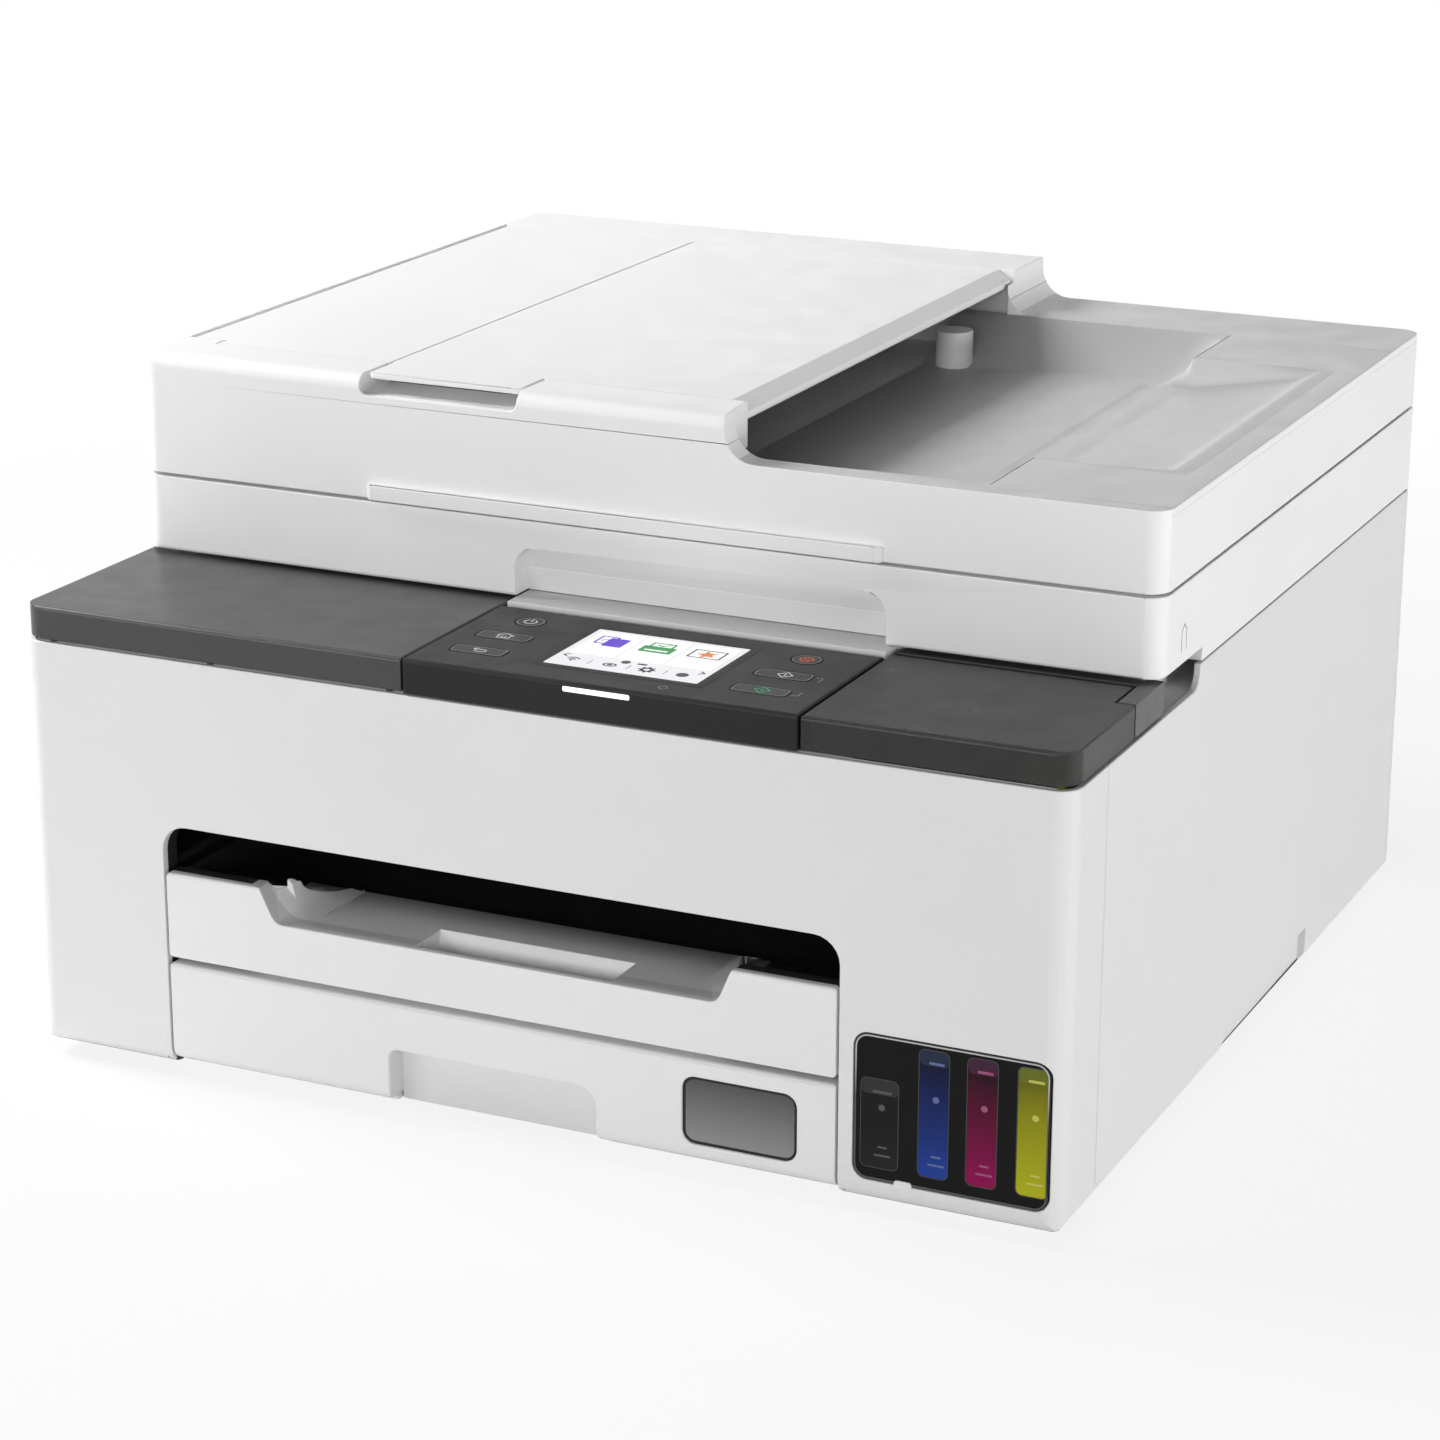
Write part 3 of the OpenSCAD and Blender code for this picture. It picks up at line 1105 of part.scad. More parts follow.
module document_cover() color(white) {
    difference() {
        moulded([left, fy(scan_front), cover_z0], [right, back, hump_z],
            all_four(corner_r), [0.6, 0.6, 0, cover_r], [0.6, scan_hinge_r, 2, cover_r]);
        hump_profile_cut();
        // feeder opening, open above, with the output pocket under the document tray
        prism_y(fy(feed_y0 + lid_jog), fy(feed_y1), [[left + 8.5, big], [left + 8.5, floor_z_left],
            [hump_x, floor_z_left + 3],
            [hump_x, big]]);
        prism_y(fy(feed_y0), fy(feed_y0 + lid_jog) + 1, [[lid_jog_x, big], [lid_jog_x, floor_z_left],
            [hump_x, floor_z_left + 3],
            [hump_x, big]]);
        intersection() {
            prism_y(fy(feed_y0 - 12), fy(feed_y1 - 8), [[hump_x - 20, floor_z_left + 3],
                [hump_x, floor_z_left + 3],
                [pocket_x1, floor_z_mid + 3], [pocket_x1, big], [hump_x - 1, big], [hump_x - 1, rim_z],
                [hump_x - 20, rim_z]]);
            prism_x(hump_x - 20, pocket_x1, [[fy(feed_y0 - 12), 0], [fy(bank_y0), 0],
                [fy(bank_y0), floor_z_left + 3],
                [fy(feed_y1 - 8), rim_z], [fy(feed_y1 - 8), big], [fy(feed_y0 - 12), big]]);
        }
        prism_y(fy(feed_y0 + 27), fy(feed_y1 - 50), [[pocket_x1 - 1, floor_z_mid + 3 - pocket_fall],
            [pocket_x1, floor_z_mid + 3], [shelf_x1 - 8, rim_z - 3],
            [shelf_x1, rim_z + 0.1], [pocket_x1 - 1, rim_z + 0.1]]);
        // seat of the feeder cover
        block([left + 4.7, fy(feed_y0 + lid_jog), hump_z - feeder_t - 0.4],
            [tray_x0 - 0.2, fy(feed_y1), big]);
        // finger notch in front of the document tray
        block([notch_x0 - 1, fy(scan_front + 1.6), notch_z], [notch_x1, fy(feed_y0 + 1), big]);
        prism_y(fy(scan_front) - 1, fy(scan_front + 2), outline([notch_x0 - 1, notch_z - 0.2],
            [notch_x1, hump_z + 5], [3, 3, 0, 0]));
        // hollow under the pocket, closed by the platen plate
        prism_y(fy(scan_front) + 5, back - 12, [[left + 5, cover_z0 - 1], [right - 5, cover_z0 - 1],
            [right - 5, rim_z - 5],
            [pocket_x1, floor_z_mid], [hump_x, floor_z_left + 0.4], [left + 5, floor_z_left - 2.6]]);
        // pockets round the hinge posts
        for (x = [-post_x, post_x])
            block([x - post_w / 2 - 0.5, post_y0 - 0.6, 0], [x + post_w / 2 + 0.5, back + 1,
                cover_hinge[1] + post_r + 0.6]);
        // bearings of the document tray and of the feeder cover
        rod_y(fy(feed_y0 - pin_l2 - 0.5), fy(feed_y1 + pin_l2 + 0.5), tray_axis[0], tray_axis[1],
            tray_pin_r + fit);
        rod_y(fy(feed_y0 - pin_l2 - 0.5), fy(feed_y1 + pin_l2 + 0.5), feeder_axis[0], feeder_axis[1],
            feeder_pin_r + fit);
        rod_y(fy(feed_y0 - 6), fy(feed_y1 + 6), adf_x, adf_z, 2.5 + fit);
        rod_y(fy(feed_y0 + lid_jog), fy(feed_y1), feeder_axis[0], feeder_axis[1], feeder_t + slack);
    }
    for (x = [-post_x, post_x]) rod_x(x - post_w / 2 - 2.5, x + post_w / 2 + 2.5, cover_hinge[0],
        cover_hinge[1], hinge_pin_r);
    // grip lip along the front edge
    moulded([left + 91, fy(scan_front - 2.5), cover_z0], [right - 94, fy(scan_front) + 2, cover_z0 + 5.4],
        [3, 3, 0, 0], all_four(0.6), [0.6, 0, 0, 0.6]);
    // post under the document tray
    rod_z(floor_z_left, uz(212), tray_x1 - 7, fy(feed_y1 - 40), 7);
}

adf_x = tray_x0 - 28;
adf_z = hump_z - 20;
adf_r = 11;
module adf_roller() color(rubber) {
    rod_y(fy(feed_y0 - 5), fy(feed_y1 + 5), adf_x, adf_z, 2.5);
    for (y = [feed_mid - 44, feed_mid + 16]) rod_y(fy(y), fy(y + 22), adf_x, adf_z, adf_r);
}

module platen_pad() color([0.95, 0.95, 0.95]) {
    block([left + 5.4, fy(scan_front) + 5.4, cover_z0 + 1], [right - 5.4, post_y0 - 1, cover_z0 + 3]);
    block([strip_x0 - 4, fy(glass_y0 - 6), scan_z1 + 0.4], [glass_x0 + glass_w + 6,
        fy(glass_y0 + glass_d + 6), cover_z0 + 1.5]);
}

module feeder_cover() color(white) {
    difference() {
        union() {
            block([feeder_axis[0], fy(feed_y0) + 0.4, hump_z - feeder_t],
                [tray_x0 - 0.6, fy(feed_y1) - 0.4, hump_z]);
            rod_y(fy(feed_y0 + lid_jog) + 0.4, fy(feed_y1) - 0.4, feeder_axis[0], feeder_axis[1], feeder_t);
        }
        block([feeder_axis[0] - 5, -big, 0], [lid_jog_x + seam, fy(feed_y0 + lid_jog) + 0.4, big]);
    }
    rod_y(fy(feed_y0 - pin_l2), fy(feed_y1 + pin_l2), feeder_axis[0], feeder_axis[1], feeder_pin_r);
    // stiffening ribs
    for (y = [feed_y0 + 42, feed_mid - 19, feed_y1 - 60])
        block([feeder_axis[0] + 12, fy(y), hump_z - 7], [tray_x0 - 6, fy(y) + 1.6, hump_z - feeder_t + 1]);
}

module document_tray() color(white) {
    difference() {
        union() {
            prism_y(fy(feed_y0) + 0.5, fy(feed_y1) - 0.5, [[tray_x0, hump_z - tray_t],
                [tray_x1 - 3, hump_z - 8],
                [tray_x1, hump_z - 6], [tray_x1, hump_z - 4], [tray_x1 - 5, hump_z], [tray_x0, hump_z]]);
            moulded([tray_x0 + 0.8, fy(scan_front + 4.5), hump_z - tab_t],
                [notch_x1 - 1, fy(feed_y0) + 4, hump_z], [2, 4, 0, 0],
                all_four(0), all_four(0.6));
        }
        block([tray_x0 + 3, fy(feed_y0) + 3.5, 0], [tray_axis[0] - 6, fy(feed_y1) - 3.5, hump_z - 2.5]);
    }
    rod_y(fy(feed_y0 - pin_l2), fy(feed_y1 + pin_l2), tray_axis[0], tray_axis[1], tray_pin_r);
}

guide_x0 = tray_x0 + 12;
guide_x1 = tray_x1 - 49;
tray_guide_t = 2;
guide_foot = 10;
module document_guide(y, s) color(smoke) {
    block([guide_x0, min(fy(y), fy(y) + s * guide_foot), hump_z - 5.6],
        [guide_x1, max(fy(y), fy(y) + s * guide_foot), hump_z - 2.8]);
    block([guide_x0, min(fy(y), fy(y) + s * tray_guide_t), hump_z - 15],
        [guide_x1, max(fy(y), fy(y) + s * tray_guide_t), hump_z - 4]);
}
feed_mid = (feed_y0 + feed_y1) / 2;
sheet_half = feed_y1 - feed_mid - sheet_in;
module document_guide_front() document_guide(feed_mid - sheet_half, -1);
module document_guide_rear() document_guide(feed_mid + sheet_half, 1);

bottom_case();
front_cover();
left_side_cover();
right_side_cover();
rear_cover();
upper_case();
rubber_feet();
left_top_cover();
band_trim();
main_frame();
carriage_shaft();
platen();
ink_window();
black_ink_tank();
color_ink_tanks();
tank_caps();
power_supply();
main_board();
power_inlet();
maintenance_station();
motors();
case_screws();
ink_tank_cover();
operation_panel();
display();
power_button();
home_button();
back_button();
stop_button();
black_start_button();
color_start_button();
cassette_tray();
cassette_front();
cassette_window();
cassette_guide_left();
cassette_guide_right();
cassette_rear_guide();
output_tray();
output_extension();
print_carriage();
print_head();
drive_pulley();
idler_pulley();
feed_roller();
eject_roller();
pickup_arm();
pickup_roller();
scanner_case();
scanner_glass();
scan_carriage();
hinge_posts();
document_cover();
platen_pad();
feeder_cover();
document_tray();
document_guide_front();
document_guide_rear();
adf_roller();
transport_cover();
maintenance_cartridge();
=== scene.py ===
import json
import math
import bmesh
import bpy
from mathutils import Matrix, Vector


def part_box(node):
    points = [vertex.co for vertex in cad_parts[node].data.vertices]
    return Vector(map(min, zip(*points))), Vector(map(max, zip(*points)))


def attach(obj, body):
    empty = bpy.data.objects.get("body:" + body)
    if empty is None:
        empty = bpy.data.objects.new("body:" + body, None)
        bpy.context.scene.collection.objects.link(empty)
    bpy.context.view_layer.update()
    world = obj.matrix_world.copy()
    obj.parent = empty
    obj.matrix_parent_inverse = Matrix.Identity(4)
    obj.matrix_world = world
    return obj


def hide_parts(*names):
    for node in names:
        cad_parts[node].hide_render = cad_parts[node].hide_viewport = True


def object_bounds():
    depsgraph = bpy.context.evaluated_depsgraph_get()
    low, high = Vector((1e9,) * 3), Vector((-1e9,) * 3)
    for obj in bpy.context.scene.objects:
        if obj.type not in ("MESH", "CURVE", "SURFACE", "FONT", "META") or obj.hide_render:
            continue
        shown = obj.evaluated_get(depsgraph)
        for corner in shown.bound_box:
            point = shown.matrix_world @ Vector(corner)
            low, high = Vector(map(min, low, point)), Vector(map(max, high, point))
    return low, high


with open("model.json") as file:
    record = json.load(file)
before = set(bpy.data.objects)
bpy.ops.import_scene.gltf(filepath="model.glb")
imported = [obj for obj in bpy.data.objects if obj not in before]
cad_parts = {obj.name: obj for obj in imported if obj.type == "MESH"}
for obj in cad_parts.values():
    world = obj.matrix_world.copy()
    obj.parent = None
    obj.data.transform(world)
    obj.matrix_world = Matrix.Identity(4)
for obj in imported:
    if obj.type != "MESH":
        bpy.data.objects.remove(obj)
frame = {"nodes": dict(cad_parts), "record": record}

cad_box = [[float(v) for v in corner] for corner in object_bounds()]
MM = 0.001
BODIES = frame["record"]["behaviour"]["bodies"]
HOME_BODY = {node: body for body, nodes in BODIES.items() for node in nodes}


# ---------------------------------------------------------------- finishes

def new_finish(name):
    finish = bpy.data.materials.new(name)
    finish.use_nodes = True
    tree = finish.node_tree
    shader = tree.nodes["Principled BSDF"]
    place = tree.nodes.new("ShaderNodeTexCoord")
    return finish, tree, shader, place.outputs["Object"]


def noise_of(tree, place, scale, detail=2.0, roughness=0.5):
    noise = tree.nodes.new("ShaderNodeTexNoise")
    noise.inputs["Scale"].default_value = scale
    noise.inputs["Detail"].default_value = detail
    noise.inputs["Roughness"].default_value = roughness
    tree.links.new(place, noise.inputs["Vector"])
    return noise.outputs["Fac"]


RAMP_START, RAMP_END = 0.35, 0.65


def spread(tree, source, low, high, start=RAMP_START, end=RAMP_END):
    """Maps a value between start and end to one between low and high."""
    span = tree.nodes.new("ShaderNodeMapRange")
    span.inputs["From Min"].default_value = start
    span.inputs["From Max"].default_value = end
    span.inputs["To Min"].default_value = low
    span.inputs["To Max"].default_value = high
    tree.links.new(source, span.inputs["Value"])
    return span.outputs["Result"]


def tint_between(tree, source, one, two):
    ramp = tree.nodes.new("ShaderNodeValToRGB")
    ramp.color_ramp.elements[0].position = RAMP_START
    ramp.color_ramp.elements[0].color = (*one, 1)
    ramp.color_ramp.elements[1].position = RAMP_END
    ramp.color_ramp.elements[1].color = (*two, 1)
    tree.links.new(source, ramp.inputs["Fac"])
    return ramp.outputs["Color"]


def grey(value, warm=0.0):
    return (value * (1 + warm), value, value * (1 - warm))


def ripple(tree, shader, height, strength, depth):
    """Fine relief of the surface, at most depth metres deep."""
    bump = tree.nodes.new("ShaderNodeBump")
    bump.inputs["Strength"].default_value = strength
    bump.inputs["Distance"].default_value = depth
    tree.links.new(height, bump.inputs["Height"])
    tree.links.new(bump.outputs["Normal"], shader.inputs["Normal"])


def moulded_plastic(name, tint, rough=0.42, grain=2600, relief=0.12, mottle=0.012, coat=0.0, specular=0.5):
    finish, tree, shader, place = new_finish(name)
    cloud = noise_of(tree, place, 9, 3)
    darker = tuple(c * (1 - mottle) for c in tint)
    lighter = tuple(min(1, c * (1 + mottle)) for c in tint)
    tree.links.new(tint_between(tree, cloud, darker, lighter), shader.inputs["Base Color"])
    dull = spread(tree, noise_of(tree, place, 70, 4), rough - 0.04, rough + 0.05)
    tree.links.new(dull, shader.inputs["Roughness"])
    ripple(tree, shader, noise_of(tree, place, grain, 2, 0.6), relief, 0.00006)
    shader.inputs["Coat Weight"].default_value = coat
    shader.inputs["Coat Roughness"].default_value = 0.08
    shader.inputs["Specular IOR Level"].default_value = specular
    return finish


def brushed_metal(name, tint, rough=0.3, along=(1, 1, 1), scale=400, relief=0.1):
    finish, tree, shader, place = new_finish(name)
    stretch = tree.nodes.new("ShaderNodeMapping")
    stretch.inputs["Scale"].default_value = along
    tree.links.new(place, stretch.inputs["Vector"])
    lines = noise_of(tree, stretch.outputs["Vector"], scale, 4)
    tone = tint_between(tree, lines, tuple(c * 0.9 for c in tint), tint)
    tree.links.new(tone, shader.inputs["Base Color"])
    tree.links.new(spread(tree, lines, rough - 0.06, rough + 0.1), shader.inputs["Roughness"])
    shader.inputs["Metallic"].default_value = 1.0
    ripple(tree, shader, lines, relief, 0.00004)
    return finish


def clear_plastic(name, tint, rough=0.12, through=0.6, mottle=0.05):
    finish, tree, shader, place = new_finish(name)
    cloud = noise_of(tree, place, 14, 3)
    darker = tuple(c * (1 - mottle) for c in tint)
    tree.links.new(tint_between(tree, cloud, darker, tint), shader.inputs["Base Color"])
    dull = spread(tree, noise_of(tree, place, 90, 3), rough, rough + 0.08)
    tree.links.new(dull, shader.inputs["Roughness"])
    shader.inputs["Transmission Weight"].default_value = through
    shader.inputs["IOR"].default_value = 1.49
    ripple(tree, shader, noise_of(tree, place, 2200, 2), 0.08, 0.00004)
    return finish


def smoked_plastic(name, tint, rough, show_through):
    finish, tree, shader, place = new_finish(name)
    cloud = noise_of(tree, place, 8, 3)
    tone = tint_between(tree, cloud, tuple(c * 0.93 for c in tint), tuple(c * 1.07 for c in tint))
    tree.links.new(tone, shader.inputs["Base Color"])
    dull = spread(tree, noise_of(tree, place, 80, 3), rough - 0.03, rough + 0.04)
    tree.links.new(dull, shader.inputs["Roughness"])
    shader.inputs["Alpha"].default_value = 1 - show_through
    shader.inputs["Specular IOR Level"].default_value = 0.42
    ripple(tree, shader, noise_of(tree, place, 2400, 2), 0.1, 0.00005)
    return finish


def glowing(name, tint, strength):
    finish, tree, shader, place = new_finish(name)
    cloud = noise_of(tree, place, 60, 2)
    tone = tint_between(tree, cloud, tuple(c * 0.98 for c in tint), tint)
    tree.links.new(tone, shader.inputs["Emission Color"])
    shader.inputs["Emission Strength"].default_value = strength
    unlit = tint_between(tree, cloud, tuple(c * 0.05 for c in tint), tuple(c * 0.06 for c in tint))
    tree.links.new(unlit, shader.inputs["Base Color"])
    shader.inputs["Roughness"].default_value = 0.25
    return finish


INK_SHINE = 0.15


def ink_fill(name, low, middle, top, z0, z1):
    """Ink behind its clear window, brighter towards the bottom of the tank."""
    finish, tree, shader, place = new_finish(name)
    split = tree.nodes.new("ShaderNodeSeparateXYZ")
    tree.links.new(place, split.inputs["Vector"])
    height = spread(tree, split.outputs["Z"], 0, 1, z0, z1)
    ramp = tree.nodes.new("ShaderNodeValToRGB")
    stops = ramp.color_ramp.elements
    stops[0].color = (*low, 1)
    stops[1].color = (*top, 1)
    stops.new(0.5).color = (*middle, 1)
    wobble = tree.nodes.new("ShaderNodeMath")
    wobble.operation = "ADD"
    tree.links.new(height, wobble.inputs[0])
    tree.links.new(spread(tree, noise_of(tree, place, 60, 2), -0.04, 0.04), wobble.inputs[1])
    tree.links.new(wobble.outputs[0], ramp.inputs["Fac"])
    tree.links.new(ramp.outputs["Color"], shader.inputs["Base Color"])
    tree.links.new(spread(tree, noise_of(tree, place, 120, 2), 0.16, 0.24), shader.inputs["Roughness"])
    shader.inputs["Specular IOR Level"].default_value = INK_SHINE
    return finish


def graded(name, axis, low, high, start, end, rough=0.2, specular=0.5):
    """Plastic whose tone goes from low to high between two places along an axis."""
    finish, tree, shader, place = new_finish(name)
    split = tree.nodes.new("ShaderNodeSeparateXYZ")
    tree.links.new(place, split.inputs["Vector"])
    share = spread(tree, split.outputs[axis], RAMP_START, RAMP_END, start, end)
    tree.links.new(tint_between(tree, share, grey(low), grey(high)), shader.inputs["Base Color"])
    dull = spread(tree, noise_of(tree, place, 120, 2), rough - 0.04, rough + 0.04)
    tree.links.new(dull, shader.inputs["Roughness"])
    shader.inputs["Specular IOR Level"].default_value = specular
    return finish


CASING = moulded_plastic("casing_white", grey(0.74), 0.46, 2400, 0.14)
LID = moulded_plastic("lid_white", grey(0.86), 0.46, 2400, 0.14)
DRAWER = moulded_plastic("drawer_white", grey(0.78), 0.44, 2600, 0.12)
INNER = moulded_plastic("inner_white", grey(0.7), 0.5, 2200, 0.16)
SMOKE = smoked_plastic("smoked_cover", grey(0.045, 0.02), 0.34, 0.0)
SMOKE_INK = smoked_plastic("smoked_ink_cover", grey(0.026, 0.02), 0.3, 0.28)
PANEL = moulded_plastic("panel_black", grey(0.02, 0.02), 0.34, 2600, 0.12, 0.05, 0, 0.15)
KEY = moulded_plastic("key_black", grey(0.014, 0.02), 0.3, 2600, 0.12, 0.05, 0, 0.25)
# black of the printer's own dark parts, and also painted shade: white casing faces inside the printer and
# the output extension are painted with it where the inside lies in shade
DARK_AND_PAINTED_SHADE = moulded_plastic("inner_black_and_painted_shade", grey(0.012), 0.5, 1800, 0.2, 0.08)
SCREEN_GLASS = moulded_plastic("screen_glass_black", grey(0.005), 0.3, 2600, 0.04, 0.06, 0, 0.15)
INK_FRAME = moulded_plastic("ink_window_black", grey(0.006), 0.2, 2600, 0.05, 0.06, 0, 0.1)
RUBBER = moulded_plastic("roller_rubber", grey(0.05), 0.75, 900, 0.4, 0.1, 0, 0.3)
FOOT = moulded_plastic("foot_rubber", grey(0.035), 0.8, 900, 0.4, 0.1, 0, 0.3)
ACETAL = moulded_plastic("acetal", grey(0.62, 0.02), 0.38, 2400, 0.08)
STEEL = brushed_metal("rolled_steel", grey(0.6), 0.32, (1, 6, 6), 300)
SHAFT = brushed_metal("ground_shaft", grey(0.66), 0.18, (1, 40, 40), 260, 0.05)
ZINC = brushed_metal("zinc_screw", grey(0.55, 0.01), 0.3, (1, 1, 1), 700)
# painted shade: dark grey that stands for the shade of the hinge mark's small moulded relief
SEAM_PAINTED_SHADE = moulded_plastic("seam_painted_shade", grey(0.16), 0.6, 1800, 0.1)
# painted shade for the finger grip recess under the cassette's front
GRIP_PAINTED_SHADE = moulded_plastic("grip_painted_shade", grey(0.7), 0.5, 2400, 0.14)
# painted shade: the pocket lining is darker near the feeder's hump, where its shadow falls, and lighter
# towards the right
POCKET_PAINTED_SHADE = graded("pocket_painted_shade", "X", 0.38, 0.56, 0.04, 0.11, 0.5, 0.3)
# painted shade on the top of the document cover's rim
LID_RIM_PAINTED_SHADE = moulded_plastic("lid_rim_painted_shade", grey(0.58), 0.5, 2400, 0.14)
# painted shade on the shelf behind the operation panel
SHELF_PAINTED_SHADE = moulded_plastic("shelf_painted_shade", grey(0.55), 0.5, 2400, 0.14)
GLASS = clear_plastic("scanner_glass_clear", (0.92, 0.97, 0.96), 0.02, 0.9, 0.01)
TANK_CLEAR = clear_plastic("tank_clear", (0.75, 0.77, 0.78), 0.2, 0.3)
WINDOW = graded("cassette_window_grey", "Z", 0.26, 0.09, 0.014, 0.034, 0.2, 0.2)
PAD = moulded_plastic("platen_foam", grey(0.86), 0.85, 700, 0.5, 0.01, 0, 0.2)
BOARD = moulded_plastic("board_green", (0.02, 0.13, 0.05), 0.4, 1400, 0.3, 0.15, 0.3)
CAP_BLUE = moulded_plastic("cap_blue", (0.06, 0.08, 0.42), 0.4)
CAP_RED = moulded_plastic("cap_magenta", (0.2, 0.01, 0.06), 0.4)
CAP_OLIVE = moulded_plastic("cap_yellow", (0.3, 0.32, 0.03), 0.4)
LAMP = glowing("status_lamp", (1, 1, 1), 1.6)
PAGE = glowing("screen_page", (0.80, 0.80, 0.82), 0.95)
TILE = glowing("screen_tile", (1, 1, 1), 0.98)
VIOLET = glowing("screen_violet", (0.09, 0.02, 0.6), 0.9)
GREEN = glowing("screen_green", (0.01, 0.28, 0.05), 0.9)
ORANGE = glowing("screen_orange", (0.75, 0.19, 0.02), 0.9)
INKLINE = glowing("screen_dark", (0.02, 0.025, 0.05), 0.5)
# printed marks on the keys and the panel, given a painted glow so that they stay bright however they are lit
MARK_PAINTED_GLOW = glowing("key_mark_white_painted_glow", (0.62, 0.62, 0.62), 0.75)
OUTLINE_PAINTED_GLOW = glowing("key_outline_painted_glow", (0.2, 0.2, 0.2), 0.8)
STOP_MARK_PAINTED_GLOW = glowing("stop_mark_painted_glow", (0.42, 0.06, 0.02), 0.9)
START_MARK_PAINTED_GLOW = glowing("start_mark_painted_glow", (0.01, 0.3, 0.14), 0.9)
# painted highlight: the black outer rim of the ink window is painted lighter towards its top, and the tank
# rims a dim grey, for the sheen of glossy bevels
RIM_PAINTED_HIGHLIGHT = graded("ink_rim_painted_highlight", "Z", 0.07, 0.5, 0.04, 0.055)
RIM_DIM_PAINTED_SHEEN = moulded_plastic("ink_rim_dim_painted_sheen", grey(0.06), 0.2, 2600, 0.05, 0.05, 0, INK_SHINE)


def ink_set(name, low, middle, top, z0, z1, air, level):
    """The ink, the air above it and its level marks, as one tank's window shows them."""
    return [ink_fill(name + "_ink", low, middle, top, z0, z1),
            moulded_plastic(name + "_air", air, 0.2, specular=INK_SHINE),
            moulded_plastic(name + "_level", level, 0.3, specular=INK_SHINE)]


INKS = {
    "black": ink_set("black", grey(0.012), grey(0.006), grey(0.006), 0.016, 0.044, grey(0.03), grey(0.09)),
    "cyan": ink_set("cyan", (0.012, 0.045, 0.28), (0.006, 0.02, 0.13), (0.002, 0.004, 0.03), 0.018, 0.054,
                    (0.018, 0.025, 0.055), (0.11, 0.15, 0.3)),
    "magenta": ink_set("magenta", (0.24, 0.0, 0.07), (0.11, 0.0, 0.03), (0.02, 0.0, 0.008), 0.018, 0.054,
                       (0.05, 0.014, 0.035), (0.32, 0.09, 0.18)),
    "yellow": ink_set("yellow", (0.42, 0.42, 0.008), (0.30, 0.30, 0.006), (0.13, 0.13, 0.004), 0.018, 0.054,
                      (0.13, 0.15, 0.015), (0.5, 0.52, 0.1)),
}


NODES_BY_FINISH = (
    (CASING, ("bottom_case", "front_cover", "left_side_cover", "right_side_cover", "rear_cover",
        "upper_case")),
    (FOOT, ("rubber_feet",)),
    (SMOKE, ("left_top_cover", "band_trim", "document_guide_front", "document_guide_rear")),
    # painted shade: the output extension, white in itself, takes this black because it lies in shade inside
    # the printer
    (DARK_AND_PAINTED_SHADE, ("main_frame", "platen", "power_supply", "power_inlet", "maintenance_station", "display",
        "output_extension", "print_carriage", "pickup_arm", "scan_carriage", "transport_cover",
        "maintenance_cartridge")),
    (SHAFT, ("carriage_shaft",)),
    (INK_FRAME, ("ink_window",)),
    (TANK_CLEAR, ("black_ink_tank", "color_ink_tanks")),
    (RUBBER, ("tank_caps", "feed_roller", "eject_roller", "pickup_roller", "adf_roller")),
    (BOARD, ("main_board",)),
    (STEEL, ("motors", "print_head", "hinge_posts")),
    (ZINC, ("case_screws",)),
    (SMOKE_INK, ("ink_tank_cover",)),
    (PANEL, ("operation_panel",)),
    (KEY, ("power_button", "home_button", "back_button", "stop_button", "black_start_button",
        "color_start_button")),
    (INNER, ("cassette_tray",)),
    (DRAWER, ("cassette_front", "output_tray")),
    (WINDOW, ("cassette_window",)),
    (ACETAL, ("cassette_guide_left", "cassette_guide_right", "cassette_rear_guide", "drive_pulley",
        "idler_pulley")),
    (LID, ("scanner_case", "document_cover", "feeder_cover", "document_tray")),
    (GLASS, ("scanner_glass",)),
    (PAD, ("platen_pad",)),
)
NODE_FINISH = {node: finish for finish, nodes in NODES_BY_FINISH for node in nodes}


# ---------------------------------------------------------------- making pieces

# millimetres and degrees
WELD = 0.002
SLICE_WELD = 0.0005
FLAT_WITHIN = 0.6
ROUND_FROM = 38


def add_piece(name, mesh, body, paints):
    piece = bpy.data.objects.new(name, mesh)
    bpy.context.scene.collection.objects.link(piece)
    for paint in paints:
        mesh.materials.append(paint)
    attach(piece, body)
    return piece


def smooth_all(mesh):
    for face in mesh.polygons:
        face.use_smooth = True


